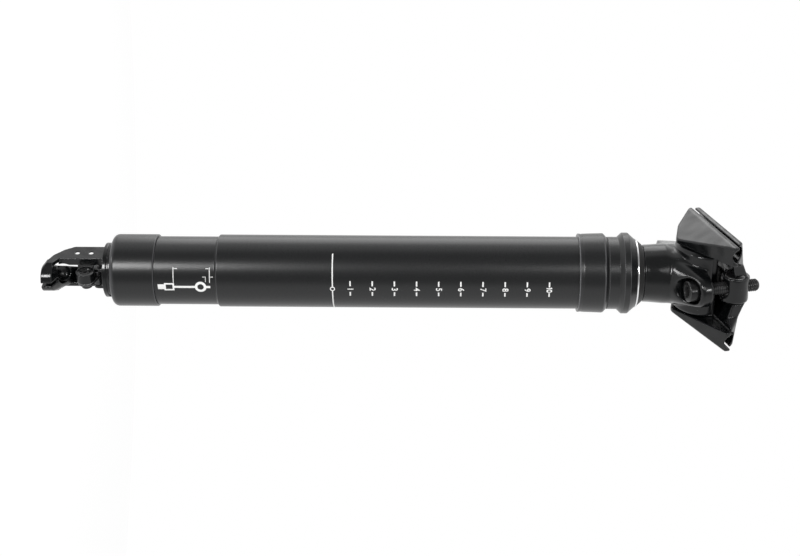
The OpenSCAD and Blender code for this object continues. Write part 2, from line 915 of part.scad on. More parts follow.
module valve_rod() {
    head_d = rod_d + 3;
    head_h = 2.4;
    z_head = z_piston_top + fit;
    color(steel)
        rotate_extrude()
            polygon([
                [0, z_rod_tip],
                [tip_d / 2, z_rod_tip],
                [tip_d / 2, z_shaft_end - fit],
                [rod_d / 2, z_shaft_end],
                [rod_d / 2, z_head],
                [head_d / 2, z_head],
                [head_d / 2, z_head + head_h / 2],
                [rod_d / 2, z_head + head_h],
                [0, z_head + head_h]
            ]);
}

module actuator_lever() {
    pivot = [pivot_q, -pivot_depth];
    nose = [0, -nose_depth];
    barrel = [barrel_q, -barrel_depth];
    barrel_boss_r = barrel_neck_d / 2 + 1.5;
    nose_w = 3;
    color(steel)
        in_actuator()
            difference() {
                union() {
                    plate_along_p(lever_bottom, lever_top) link(pivot, hub_r, barrel, barrel_boss_r);
                    plate_along_p(-nose_w / 2, nose_w / 2) link(pivot, nose_r, nose, nose_r);
                    bar_along_p(hub_r, pivot_q, pivot_depth, -lug_in + lug_gap, lug_p - lug_gap);
                }
                bar_along_p(pin_d / 2 + run, pivot_q, pivot_depth, -cheek_in, cheek_in);
                bar_along_p(
                    barrel_neck_d / 2 + run, barrel_q, barrel_depth,
                    lever_bottom - cut, lever_top + cut
                );
            }
}

module cable_barrel() {
    color(black)
        in_actuator()
            difference() {
                union() {
                    bar_along_p(barrel_neck_d / 2, barrel_q, barrel_depth, barrel_foot, barrel_step);
                    bar_along_p(barrel_d / 2, barrel_q, barrel_depth, barrel_step, barrel_top);
                }
                bar_along_p(grub_d / 2 + fit, barrel_q, barrel_depth, grub_foot, barrel_top + cut);
                translate([cable_p, barrel_q, -barrel_depth - barrel_d])
                    cylinder(d = cable_d, h = 2 * barrel_d);
            }
}

module cable_grub_screw() {
    color(steel)
        in_actuator()
            difference() {
                bar_along_p(grub_d / 2, barrel_q, barrel_depth, grub_foot, barrel_top - grub_inset);
                translate([grub_foot + 0.8, barrel_q, -barrel_depth])
                    rotate([0, 90, 0])
                        cylinder(d = grub_socket / cos(30), h = barrel_top, $fn = 6);
            }
}

// Both rail grooves, cut from either half of the clamp
module rail_grooves() {
    for (side = [-1, 1])
        translate([0, side * rail_y, 0])
            rotate([0, 90, 0])
                cylinder(d = rail_d, h = 4 * lip_rear, center = true);
}

module lower_cradle() {
    lip_h = 2.8;
    bridge_wall = 4.2;
    apex_r = 5;
    apex_x = 2;
    apex_t = 2.2;
    flank_r = 6;
    flank_x = 9;
    flank_drop = 6.5;
    flank_t = 4.5;
    color(black)
        in_clamp()
            difference() {
                union() {
                    cross_bar(bridge_r, 2 * plate_in + 1);
                    for (side = [-1, 1])
                        hull() {
                            translate([
                                -lip_rear,
                                side > 0 ? plate_in : -lip_y,
                                -split - lip_h
                            ])
                                cube([lip_rear + lip_front - lip_h, lip_y - plate_in, lip_h]);
                            translate([lip_front - lip_h, side * (plate_in + lip_y) / 2, -split])
                                cross_bar(lip_h, lip_y - plate_in, $fn = 32);
                            translate([apex_x, side * (plate_in + apex_t / 2), apex_r - plate_drop])
                                cross_bar(apex_r, apex_t, $fn = 32);
                            translate([flank_x, side * (plate_in + flank_t / 2), -flank_drop])
                                cross_bar(flank_r, flank_t, $fn = 32);
                        }
                }
                translate([-2 * lip_rear, -2 * lip_y, -split])
                    cube([4 * lip_rear, 4 * lip_y, 4 * bridge_r]);
                cross_bar(bridge_r - bridge_wall, 2 * plate_in - 4);
                rail_grooves();
            }
}

// Low strip where a wing of the upper clamp turns up to the bosses
module wing_fold(side) {
    fold_y = 13.5;
    fold_w = 1;
    fold_z = 1.5;
    fold_h = 5.1;
    fold_past = 5;
    translate([-nut_spread - fold_past, side > 0 ? fold_y : -fold_y - fold_w, fold_z])
        cube([2 * (nut_spread + fold_past) - 2, fold_w, fold_h]);
}

module upper_clamp() {
    edge_h = 2.8;
    wing_in = 5;
    wing_rear = lip_rear - 3.5;
    wing_front = lip_front - 0.7;
    boss_w = nut_len + 0.4;
    plate_h = 4.5;
    plate_z = nut_rise - plate_h / 2;
    root_y = boss_w / 2 - 1;
    root_h = 6.5;
    root_past = 4.4;
    color(black)
        in_clamp()
            difference() {
                union() {
                    translate([-nut_spread, -boss_w / 2, plate_z])
                        cube([2 * nut_spread, boss_w, plate_h]);
                    for (end = [-1, 1])
                        translate([end * nut_spread, 0, nut_rise])
                            cross_bar(boss_r, boss_w);
                    for (side = [-1, 1]) {
                        hull() {
                            translate([-wing_rear + 2, side > 0 ? lip_y - 1 : -lip_y, split])
                                cube([wing_rear + wing_front - 2, 1, edge_h]);
                            translate([-wing_rear, side > 0 ? rail_y - wing_in : -lip_y, split])
                                cube([wing_rear + wing_front, lip_y - rail_y + wing_in, 0.6]);
                            wing_fold(side);
                        }
                        hull() {
                            wing_fold(side);
                            translate([
                                -nut_spread - root_past,
                                side > 0 ? root_y : -root_y - 1,
                                plate_z
                            ])
                                cube([2 * (nut_spread + root_past), 1, root_h]);
                        }
                    }
                }
                rail_grooves();
                for (end = [-1, 1])
                    translate([end * nut_spread, 0, nut_rise])
                        cross_bar(nut_d / 2 + run, boss_w + 2 * cut);
                translate([-nut_spread, 0, nut_rise])
                    rotate([0, rear_lean - rail_tilt, 0])
                        cylinder(r = bolt_swing_r, h = 4 * nut_d, center = true);
                translate([nut_spread, 0, nut_rise])
                    rotate([0, front_lean - rail_tilt, 0])
                        cylinder(r = bolt_swing_r, h = 4 * nut_d, center = true);
            }
}

// Barrel nut at its distance from the ear's seat, drilled along its bolt
module barrel_nut(reach) {
    difference() {
        translate([0, 0, reach])
            cross_bar(nut_d / 2, nut_len);
        translate([0, 0, reach - nut_d])
            cylinder(d = bolt_d + 2 * run, h = 2 * nut_d);
    }
}

module rear_barrel_nut() {
    color(steel)
        on_bolt(rear_seat_at, rear_lean)
            barrel_nut(rear_reach);
}

module front_barrel_nut() {
    color(steel)
        on_bolt(front_seat_at, front_lean)
            barrel_nut(front_reach);
}

// Socket head bolt, with its shank through the ear
module clamp_bolt() {
    socket_depth = 3.5;
    difference() {
        union() {
            translate([0, 0, head_top])
                cylinder(d = bolt_d, h = bolt_len);
            translate([0, 0, head_top - bolt_head_h])
                cylinder(d = bolt_head_d, h = bolt_head_h);
        }
        translate([0, 0, head_top - bolt_head_h - cut])
            cylinder(d = bolt_socket / cos(30), h = socket_depth + cut, $fn = 6);
    }
}

module bolt_washer() {
    sleeve(bolt_head_d + 1, bolt_d + 2 * fit, head_top, washer_top);
}

module rear_clamp_bolt() {
    color(black)
        on_bolt(rear_seat_at, rear_lean)
            clamp_bolt();
}

module rear_bolt_washer() {
    color(steel)
        on_bolt(rear_seat_at, rear_lean)
            bolt_washer();
}

module front_clamp_bolt() {
    color(black)
        on_bolt(front_seat_at, front_lean)
            clamp_bolt();
}

module front_bolt_washer() {
    color(steel)
        on_bolt(front_seat_at, front_lean)
            bolt_washer();
}

outer_tube();
seal_head();
seal_head_o_ring();
upper_bushing();
wiper_seal();
wiper_ring();
end_cap();
end_cap_seal();
bottom_out_bumper();
cartridge_shaft();
main_piston();
piston_ring();
shaft_lock_ring();
actuator_bracket();
lever_pivot_pin();
stanchion();
saddle_head();
lower_bushing();
guide_keys();
cartridge_cylinder();
cylinder_gland();
gland_seal();
cartridge_top_plug();
cylinder_clip();
floating_piston();
floating_piston_ring();
valve_rod();
actuator_lever();
cable_barrel();
cable_grub_screw();
lower_cradle();
upper_clamp();
rear_barrel_nut();
front_barrel_nut();
rear_clamp_bolt();
rear_bolt_washer();
front_clamp_bolt();
front_bolt_washer();
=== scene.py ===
"""Looks of a dropper seatpost with a two bolt saddle clamp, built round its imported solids.

Sizes are in millimetres and become metres when a mesh is made. Z runs up the post, +X points
forward on the bicycle and +Y to the rider's left. The origin lies at the collar's lower face.
"""

import json
import logging
import math
from dataclasses import dataclass, field
from enum import Enum, IntEnum
from typing import Sequence

import bmesh
import bpy
import numpy as np
from mathutils import Matrix, Vector


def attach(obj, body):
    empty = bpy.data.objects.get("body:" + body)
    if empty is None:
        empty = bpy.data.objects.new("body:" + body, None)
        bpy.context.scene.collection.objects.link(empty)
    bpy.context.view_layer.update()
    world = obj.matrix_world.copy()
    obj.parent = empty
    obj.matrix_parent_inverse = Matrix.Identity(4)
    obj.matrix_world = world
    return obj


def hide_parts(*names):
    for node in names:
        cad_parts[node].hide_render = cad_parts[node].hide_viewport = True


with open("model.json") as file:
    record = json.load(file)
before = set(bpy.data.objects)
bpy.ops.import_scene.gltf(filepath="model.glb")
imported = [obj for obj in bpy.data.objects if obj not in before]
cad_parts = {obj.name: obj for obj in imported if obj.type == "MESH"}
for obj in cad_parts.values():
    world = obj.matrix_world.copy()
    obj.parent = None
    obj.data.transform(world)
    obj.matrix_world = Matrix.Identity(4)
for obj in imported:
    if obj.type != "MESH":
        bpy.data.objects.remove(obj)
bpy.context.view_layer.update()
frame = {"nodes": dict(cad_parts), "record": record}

LOG = logging.getLogger("seatpost")
MM = 0.001
TINY = 1e-6
# Point attribute of how sharply a surface bends outward; finishes lighten these edges as rubbing and as a
# painted highlight.
EDGE_SHEEN_LAYER = "rubbed"
SHARP_DEG = 38.0

# Where the three guide keys stand round the post, in degrees
KEY_TURNS = (60, 180, 300)

# How far a cutting shape reaches past what it cuts, in millimetres
OVERCUT = 1.0

# Noise in every finish: its scale per metre, its detail and the stretch of its range that counts
PATCH_SCALE = 55.0
PATCH_DETAIL = 5.0
PATCH_RANGE = (0.35, 0.75)
PATCH_SHARE = 0.35
GRAIN_DETAIL = 3.0
GRAIN_RANGE = (0.3, 0.7)
GRAIN_STRENGTH = 0.5
WAVE_SCALE = 85.0
WAVE_DETAIL = 1.0

Point = tuple[float, float]
Corner = tuple[float, float, float]
Colour = tuple[float, float, float]
Bar = tuple[float, float, float, float]
Node = bpy.types.Node
Socket = bpy.types.NodeSocket


class Texture(Enum):
    """Fine surface that a finish carries."""

    ANODISED = "anodised"
    PAINTED = "painted"
    TURNED = "turned"
    RUBBERY = "rubbery"
    INKED = "inked"


class Facets(IntEnum):
    """Steps round the axis of a turned piece, by its size."""

    BORE = 32
    SMALL = 48
    MIDDLE = 80
    RING = 128
    TUBE = 192


@dataclass(frozen=True)
class Grain:
    """Noise behind a texture.

    Attributes:
        fine: How many grains fit in a metre.
        bump: Height of the grains in metres.
        stretch: How much finer the grain is along X, Y and Z.
        wave: Height of the long waves under the grains, in metres.
    """

    fine: float
    bump: float
    stretch: tuple[float, float, float] = (1.0, 1.0, 1.0)
    wave: float = 0.0


GRAINS: dict[Texture, Grain] = {
    Texture.ANODISED: Grain(5200.0, 0.0000012),
    Texture.PAINTED: Grain(700.0, 0.000008, wave=0.0011),
    Texture.TURNED: Grain(2600.0, 0.000003, (0.12, 0.12, 2.4)),
    Texture.RUBBERY: Grain(3000.0, 0.000020),
    Texture.INKED: Grain(4000.0, 0.000005),
}


@dataclass(frozen=True)
class Nodes:
    """The nodes of a material or of the world, with the steps that several of them share."""

    tree: bpy.types.NodeTree

    def add(self, kind: str) -> Node:
        """Return a new node of a kind."""
        return self.tree.nodes.new(kind)

    def link(self, source: Socket, target: Socket) -> None:
        """Lead one socket into another."""
        self.tree.links.new(source, target)

    def noise(self, place: Socket, scale: float, detail: float) -> Socket:
        """Add a noise texture.

        Args:
            place: Coordinates.
            scale: Scale per metre.
            detail: Octaves of detail.

        Returns:
            The texture's value.
        """
        node = self.add("ShaderNodeTexNoise")
        node.inputs["Scale"].default_value = scale
        node.inputs["Detail"].default_value = detail
        self.link(place, node.inputs["Vector"])
        return node.outputs["Fac"]

    def ranged(self, value: Socket, source: Point, target: Point, way: str = "LINEAR") -> Socket:
        """Map a value from one range to another and hold it there.

        Args:
            value: The value.
            source: Range that it has.
            target: Range that it gets.
            way: How it goes from one end to the other.

        Returns:
            The mapped value.
        """
        node = self.add("ShaderNodeMapRange")
        node.interpolation_type = way
        for name, number in zip(("From Min", "From Max", "To Min", "To Max"), (*source, *target)):
            node.inputs[name].default_value = number
        self.link(value, node.inputs["Value"])
        return node.outputs["Result"]

    def layered(self, share: Socket, over: Colour) -> Node:
        """Lay a colour over another one.

        Args:
            share: Share of the upper colour.
            over: The upper colour.

        Returns:
            The mixing node, whose socket A takes the lower colour.
        """
        node = self.add("ShaderNodeMix")
        node.data_type = "RGBA"
        node.inputs["B"].default_value = (*over, 1.0)
        self.link(share, node.inputs["Factor"])
        return node

    def bumped(self, height: Socket, distance: float, strength: float) -> Node:
        """Add a bump.

        Args:
            height: The height.
            distance: Height in metres where that is 1.
            strength: Share of the bump that shows.

        Returns:
            The bump's node.
        """
        node = self.add("ShaderNodeBump")
        node.inputs["Strength"].default_value = strength
        node.inputs["Distance"].default_value = distance
        self.link(height, node.inputs["Height"])
        return node

    def larger(self, first: Socket, second: Socket) -> Socket:
        """Pick the larger of two values.

        Args:
            first: One value.
            second: The other.

        Returns:
            The larger one.
        """
        node = self.add("ShaderNodeMath")
        node.operation = "MAXIMUM"
        self.link(first, node.inputs[0])
        self.link(second, node.inputs[1])
        return node.outputs["Value"]


@dataclass(frozen=True)
class Finish:
    """Surface finish of a piece.

    Attributes:
        name: Name of the finish, which its material also carries.
        colour: Base colour.
        worn: Colour of the lightest patches.
        edge: Colour of rubbed edges, which also serves as a painted highlight along convex edges.
        metallic: Share of metal in the shader.
        roughness: Middle roughness.
        spread: How far the roughness varies to either side.
        texture: Fine surface.
        coat: Weight of a clear coat.
        coat_roughness: Roughness of that coat.
        specular: Specular level of the base.
        wear_and_sheen: How strongly edges are rubbed, and so how strong the painted edge highlight is.
    """

    name: str
    colour: Colour
    worn: Colour
    edge: Colour
    metallic: float
    roughness: float
    spread: float
    texture: Texture
    coat: float = 0.0
    coat_roughness: float = 0.1
    specular: float = 0.5
    wear_and_sheen: float = 0.3

    def material(self) -> bpy.types.Material:
        """Make the finish's material once and hand it out again later.

        Returns:
            The material with its nodes.
        """
        label = f"{self.name}_finish"
        made = bpy.data.materials.get(label)
        if made is not None:
            return made
        made = bpy.data.materials.new(label)
        made.use_nodes = True
        nodes = Nodes(made.node_tree)
        shader = nodes.tree.nodes["Principled BSDF"]
        shader.inputs["Metallic"].default_value = self.metallic
        shader.inputs["Coat Weight"].default_value = self.coat
        shader.inputs["Coat Roughness"].default_value = self.coat_roughness
        shader.inputs["Specular IOR Level"].default_value = self.specular
        place = nodes.add("ShaderNodeTexCoord").outputs["Object"]
        self._colour(nodes, shader, place)
        self._surface(nodes, shader, place)
        return made

    def _colour(self, nodes: Nodes, shader: Node, place: Socket) -> None:
        """Vary the base colour in soft patches, and lighten convex edges as rubbed wear and as a painted
        edge highlight.

        Args:
            nodes: The material's nodes.
            shader: The principled shader.
            place: Texture coordinates.
        """
        patches = nodes.noise(place, PATCH_SCALE, PATCH_DETAIL)
        mix = nodes.layered(nodes.ranged(patches, PATCH_RANGE, (0.0, PATCH_SHARE)), self.worn)
        mix.inputs["A"].default_value = (*self.colour, 1.0)
        edges = nodes.add("ShaderNodeAttribute")
        edges.attribute_name = EDGE_SHEEN_LAYER
        # Convex edges move towards the edge colour: partly rubbed wear, partly a painted highlight for the
        # light that edges catch.
        rubbed_and_lit = nodes.layered(nodes.ranged(edges.outputs["Fac"], (0.0, 1.0), (0.0, self.wear_and_sheen)), self.edge)
        nodes.link(mix.outputs["Result"], rubbed_and_lit.inputs["A"])
        nodes.link(rubbed_and_lit.outputs["Result"], shader.inputs["Base Color"])

    def _surface(self, nodes: Nodes, shader: Node, place: Socket) -> None:
        """Give the shader its fine bump, its long waves and its uneven roughness.

        Args:
            nodes: The material's nodes.
            shader: The principled shader.
            place: Texture coordinates.
        """
        grain = GRAINS[self.texture]
        mapping = nodes.add("ShaderNodeMapping")
        mapping.inputs["Scale"].default_value = grain.stretch
        nodes.link(place, mapping.inputs["Vector"])
        grains = nodes.noise(mapping.outputs["Vector"], grain.fine, GRAIN_DETAIL)
        uneven = (self.roughness - self.spread, self.roughness + self.spread)
        nodes.link(nodes.ranged(grains, GRAIN_RANGE, uneven), shader.inputs["Roughness"])
        bump = nodes.bumped(grains, grain.bump, GRAIN_STRENGTH)
        nodes.link(bump.outputs["Normal"], shader.inputs["Normal"])
        if grain.wave > 0:
            swell = nodes.bumped(nodes.noise(place, WAVE_SCALE, WAVE_DETAIL), grain.wave, 1.0)
            nodes.link(swell.outputs["Normal"], bump.inputs["Normal"])


# The tube's light edge colour, laid on strongly, paints highlight lines on its foot step, collar and cap
# edges, as well as showing rubbing.
TUBE_BLACK = Finish(
    "tube_black", (0.0045, 0.005, 0.0056), (0.007, 0.0075, 0.008), (0.2, 0.2, 0.21),
    0.0, 0.3, 0.05, Texture.ANODISED, wear_and_sheen=0.6,
)
FORGED_BLACK = Finish(
    "forged_black", (0.0025, 0.003, 0.0033), (0.005, 0.005, 0.0055), (0.03, 0.03, 0.032),
    0.0, 0.22, 0.04, Texture.PAINTED, coat=0.25, coat_roughness=0.08, specular=0.26, wear_and_sheen=0.4,
)
STANCHION_BLACK = Finish(
    "stanchion_black", (0.012, 0.012, 0.013), (0.025, 0.025, 0.027), (0.05, 0.05, 0.05),
    0.0, 0.2, 0.03, Texture.TURNED, coat=0.3, coat_roughness=0.08, wear_and_sheen=0.3,
)
BOLT_BLACK = Finish(
    "bolt_black", (0.006, 0.006, 0.0065), (0.014, 0.014, 0.015), (0.09, 0.09, 0.09),
    0.1, 0.24, 0.06, Texture.TURNED, specular=0.3, wear_and_sheen=0.5,
)
STEEL = Finish(
    "steel", (0.45, 0.45, 0.46), (0.55, 0.55, 0.56), (0.7, 0.7, 0.7),
    1.0, 0.3, 0.08, Texture.TURNED, wear_and_sheen=0.5,
)
DARK_STEEL = Finish(
    "dark_steel", (0.05, 0.05, 0.052), (0.09, 0.09, 0.09), (0.4, 0.4, 0.4),
    0.7, 0.3, 0.06, Texture.TURNED, wear_and_sheen=0.7,
)
BRIGHT_RING = Finish(
    "bright_ring", (0.78, 0.78, 0.79), (0.85, 0.85, 0.85), (0.9, 0.9, 0.9),
    1.0, 0.16, 0.05, Texture.TURNED, wear_and_sheen=0.3,
)
RUBBER = Finish(
    "rubber", (0.011, 0.011, 0.011), (0.02, 0.02, 0.02), (0.03, 0.03, 0.03),
    0.0, 0.55, 0.08, Texture.RUBBERY, wear_and_sheen=0.2,
)
BRASS = Finish(
    "brass", (0.5, 0.34, 0.12), (0.58, 0.42, 0.18), (0.7, 0.55, 0.3),
    1.0, 0.3, 0.08, Texture.TURNED, wear_and_sheen=0.4,
)
BUSHING = Finish(
    "bushing", (0.12, 0.09, 0.06), (0.17, 0.13, 0.09), (0.25, 0.2, 0.15),
    0.2, 0.45, 0.08, Texture.TURNED, wear_and_sheen=0.3,
)
WHITE_INK = Finish(
    "white_ink", (0.88, 0.88, 0.87), (0.94, 0.94, 0.93), (0.9, 0.9, 0.9),
    0.0, 0.45, 0.06, Texture.INKED, wear_and_sheen=0.0,
)

SLOT_FINISHES: dict[str, Finish] = {
    finish.name: finish
    for finish in (
        TUBE_BLACK, FORGED_BLACK, STANCHION_BLACK, BOLT_BLACK, STEEL, BRIGHT_RING, RUBBER, BRASS, BUSHING,
    )
}


@dataclass
class Shape:
    """Points in millimetres with the faces between them."""

    points: list[Vector] = field(default_factory=list)
    faces: list[tuple[int, ...]] = field(default_factory=list)

    def moved(self, matrix: Matrix) -> "Shape":
        """Return the shape with every point put through a matrix."""
        return Shape([matrix @ p for p in self.points], list(self.faces))

    def around(self, turns: Sequence[float]) -> list["Shape"]:
        """Return copies of the shape, turned round the Z axis by so many degrees each."""
        return [self.moved(Matrix.Rotation(math.radians(turn), 4, "Z")) for turn in turns]


def softened(corners: Sequence[Corner], steps: int = 4, most: float = 0.45) -> list[Point]:
    """Round the corners of a closed outline.

    Args:
        corners: Radius, height and corner radius of each point, in order.
        steps: Edges in each rounded corner.
        most: Share of an edge that one corner may take.

    Returns:
        The outline's points.
    """
    outline: list[Point] = []
    count = len(corners)
    for i, (r, z, bend) in enumerate(corners):
        here = Vector((r, z))
        before = Vector(corners[i - 1][:2]) - here
        after = Vector(corners[(i + 1) % count][:2]) - here
        if bend <= 0 or before.length < TINY or after.length < TINY:
            outline.append((r, z))
            continue
        angle = before.angle(after)
        reach = min(bend / math.tan(angle / 2), most * before.length, most * after.length)
        start = here + before.normalized() * reach
        end = here + after.normalized() * reach
        for step in range(steps + 1):
            t = step / steps
            curve = start * (1 - t) ** 2 + here * 2 * t * (1 - t) + end * t**2
            outline.append((curve.x, curve.y))
    return outline


def stayed(outline: Sequence[Point], reach: float = 0.4) -> list[Point]:
    """Add a point beside each end of a long edge, so that shading stays at the corners.

    Args:
        outline: Closed outline.
        reach: Distance of the added points from the corners.

    Returns:
        The outline with the added points.
    """
    points: list[Point] = []
    for here, after in zip(outline, list(outline[1:]) + [outline[0]]):
        points.append(here)
        edge = Vector(after) - Vector(here)
        if edge.length > 4 * reach:
            step = edge.normalized() * reach
            points.append(tuple(Vector(here) + step))
            points.append(tuple(Vector(after) - step))
    return points


def turned(outline: Sequence[Point], count: int) -> Shape:
    """Turn a closed outline round the Z axis.

    Args:
        outline: Radius and height of each point, counter-clockwise with the radius to the right.
        count: Steps round the axis.

    Returns:
        A closed shape. Points on the axis become one pole.
    """
    shape = Shape()
    rings: list[list[int]] = []
    for r, z in stayed(outline):
        first = len(shape.points)
        if r < TINY:
            shape.points.append(Vector((0.0, 0.0, z)))
            rings.append([first] * count)
            continue
        for step in range(count):
            angle = 2 * math.pi * step / count
            shape.points.append(Vector((r * math.cos(angle), r * math.sin(angle), z)))
        rings.append(list(range(first, first + count)))
    for low, high in zip(rings, rings[1:] + rings[:1]):
        for step in range(count):
            after = (step + 1) % count
            face = dict.fromkeys((low[step], low[after], high[after], high[step]))
            if len(face) > 2:
                shape.faces.append(tuple(face))
    return shape


def rod(radius: float, z0: float, z1: float, bends: Point, count: int, steps: int = 4) -> Shape:
    """Turn a round bar with rounded ends.

    Args:
        radius: Radius of the bar.
        z0: Height of its lower end.
        z1: Height of its upper end.
        bends: Corner radius at its lower and upper end.
        count: Steps round the axis.
        steps: Edges in each rounded corner.

    Returns:
        A closed shape.
    """
    corners = [(0.0, z0, 0.0), (radius, z0, bends[0]), (radius, z1, bends[1]), (0.0, z1, 0.0)]
    return turned(softened(corners, steps), count)


def hoop(inner: float, outer: float, z0: float, z1: float, bends: Point, count: int) -> Shape:
    """Turn a flat ring with rounded edges.

    Args:
        inner: Radius of its bore.
        outer: Outer radius.
        z0: Height of its lower face.
        z1: Height of its upper face.
        bends: Corner radius at the bore and at the outside.
        count: Steps round the axis.

    Returns:
        A closed shape.
    """
    corners = [(inner, z0, bends[0]), (outer, z0, bends[1]), (outer, z1, bends[1]), (inner, z1, bends[0])]
    return turned(softened(corners), count)


def drill(radius: float, count: int, reach: float = 9.0) -> Shape:
    """Return a plain bar along Z that cuts a round hole."""
    return turned([(0.0, -reach), (radius, -reach), (radius, reach), (0.0, reach)], count)


def prism(sides: int, across: float, z0: float, z1: float) -> Shape:
    """Make a regular prism along Z.

    Args:
        sides: Number of its side faces.
        across: Width across two opposite flats.
        z0: Height of its lower end.
        z1: Height of its upper end.

    Returns:
        A closed shape.
    """
    radius = across / 2 / math.cos(math.pi / sides)
    ring = [2 * math.pi * i / sides for i in range(sides)]
    points = [Vector((radius * math.cos(a), radius * math.sin(a), z)) for z in (z0, z1) for a in ring]
    faces: list[tuple[int, ...]] = [tuple(reversed(range(sides))), tuple(range(sides, 2 * sides))]
    for i in range(sides):
        after = (i + 1) % sides
        faces.append((i, after, sides + after, sides + i))
    return Shape(points, faces)


def block(low: Corner, high: Corner) -> Shape:
    """Make a box from its lowest and highest corner.

    Args:
        low: Lowest corner.
        high: Highest corner.

    Returns:
        A closed shape.
    """
    xs, ys, zs = zip(low, high)
    points = [Vector((x, y, z)) for z in zs for y in ys for x in xs]
    faces = [(0, 2, 3, 1), (4, 5, 7, 6), (0, 1, 5, 4), (2, 6, 7, 3), (0, 4, 6, 2), (1, 3, 7, 5)]
    return Shape(points, faces)


def thread(radius: float, depth: float, pitch: float, z0: float, z1: float) -> Shape:
    """Make a bar with a screw thread on it.

    Args:
        radius: Radius over the crests.
        depth: Depth of the thread.
        pitch: Height of one turn.
        z0: Height of its plain lower end.
        z1: Height of its upper end, which is chamfered.

    Returns:
        A closed shape.
    """
    count = 40
    rows_per_turn = 8
    chamfer_slope = 0.8
    flank_slope = 2.2
    crest_width = 0.6
    rows = int((z1 - z0) / pitch * rows_per_turn) + 1
    shape = Shape()
    for row in range(rows + 1):
        z = z0 + (z1 - z0) * row / rows
        chamfer = max(0.0, pitch - (z1 - z)) * chamfer_slope
        for step in range(count):
            turn = (z / pitch - step / count) % 1.0
            wave = min(1.0, max(0.0, flank_slope * abs(2 * turn - 1) - crest_width))
            r = min(radius - depth * wave, radius - chamfer)
            angle = 2 * math.pi * step / count
            shape.points.append(Vector((r * math.cos(angle), r * math.sin(angle), z)))
    for row in range(rows):
        for step in range(count):
            after = (step + 1) % count
            low, high = row * count, (row + 1) * count
            shape.faces.append((low + step, low + after, high + after, high + step))
    shape.faces.append(tuple(reversed(range(count))))
    shape.faces.append(tuple(range(rows * count, (rows + 1) * count)))
    return shape


@dataclass(frozen=True)
class Place:
    """Where a piece belongs.

    Attributes:
        body: Body that it rides on.
        slot: Material slot of the record, if it has one; not used.
        nodes: Solids that it stands for.
    """

    body: str
    slot: str | None = None
    nodes: tuple[str, ...] = ()


def mark_rubbed_and_lit_edges(mesh: bpy.types.Mesh, plain_deg: float = 7.0, full_deg: float = 24.0) -> None:
    """Store how far each point of a mesh lies on an outer edge, where finishes are rubbed and carry a
    painted highlight.

    Args:
        mesh: Mesh to mark.
        plain_deg: Bend up to which a surface counts as plain.
        full_deg: Bend from which an edge counts in full.
    """
    made = bmesh.new()
    made.from_mesh(mesh)
    bends = np.zeros(len(made.verts))
    for edge in made.edges:
        if edge.is_manifold:
            bend = math.degrees(edge.calc_face_angle_signed())
            for vert in edge.verts:
                bends[vert.index] = max(bends[vert.index], bend)
    made.free()
    layer = mesh.attributes.new(EDGE_SHEEN_LAYER, "FLOAT", "POINT")
    layer.data.foreach_set("value", np.clip((bends - plain_deg) / (full_deg - plain_deg), 0.0, 1.0))


@dataclass
class Piece:
    """A made object with its place and its finish."""

    obj: bpy.types.Object
    place: Place
    finish: Finish

    def settle(self) -> None:
        """Put the finish on the object and tie the object to its body."""
        mark_rubbed_and_lit_edges(self.obj.data)
        self.obj.data.materials.clear()
        self.obj.data.materials.append(self.finish.material())
        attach(self.obj, self.place.body)
        if self.place.nodes:
            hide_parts(*self.place.nodes)
        LOG.info("%s: %d faces, on %s", self.obj.name, len(self.obj.data.polygons), self.place.body)


def linked(name: str, data: bpy.types.ID) -> bpy.types.Object:
    """Make an object and link it to the scene.

    Args:
        name: Name of the object.
        data: Its mesh, curve, lamp or camera.

    Returns:
        The linked object.
    """
    obj = bpy.data.objects.new(name, data)
    bpy.context.scene.collection.objects.link(obj)
    return obj


def shaded(mesh: bpy.types.Mesh, sharp_deg: float = SHARP_DEG) -> None:
    """Shade a mesh smooth, apart from edges that turn by more than an angle."""
    mesh.shade_smooth()
    mesh.set_sharp_from_angle(angle=math.radians(sharp_deg))


def as_object(name: str, shape: Shape, sharp_deg: float = SHARP_DEG) -> bpy.types.Object:
    """Make a smooth shaded object from a shape.

    Args:
        name: Name of the object.
        shape: The shape, in millimetres.
        sharp_deg: Edges that turn by more than this stay sharp.

    Returns:
        The linked object, in metres.
    """
    mesh = bpy.data.meshes.new(name)
    mesh.from_pydata([p * MM for p in shape.points], [], shape.faces)
    mesh.validate()
    made = bmesh.new()
    made.from_mesh(mesh)
    bmesh.ops.recalc_face_normals(made, faces=made.faces)
    made.to_mesh(mesh)
    made.free()
    shaded(mesh, sharp_deg)
    return linked(name, mesh)


def applied(obj: bpy.types.Object) -> None:
    """Turn an object's modifiers into its mesh.

    Args:
        obj: Object with modifiers, which has none afterwards.
    """
    bpy.context.view_layer.update()
    shown = obj.evaluated_get(bpy.context.evaluated_depsgraph_get())
    mesh = bpy.data.meshes.new_from_object(shown)
    obj.modifiers.clear()
    old = obj.data
    obj.data = mesh
    bpy.data.meshes.remove(old)
    mesh.name = obj.name


def combined(obj: bpy.types.Object, others: Sequence[bpy.types.Object], operation: str) -> bpy.types.Object:
    """Join objects into an object or take them away from it, and remove them.

    Args:
        obj: Object that changes.
        others: Objects that go into it or out of it.
        operation: UNION or DIFFERENCE.

    Returns:
        The same object.
    """
    for other in others:
        step = obj.modifiers.new(other.name, "BOOLEAN")
        step.operation = operation
        step.solver = "EXACT"
        step.object = other
    applied(obj)
    for other in others:
        bpy.data.objects.remove(other)
    shaded(obj.data)
    return obj


def carved(obj: bpy.types.Object, cuts: Sequence[Shape]) -> bpy.types.Object:
    """Return an object with closed shapes cut out of it."""
    tools = [as_object(f"{obj.name}_cut_{i}", cut) for i, cut in enumerate(cuts)]
    return combined(obj, tools, "DIFFERENCE")


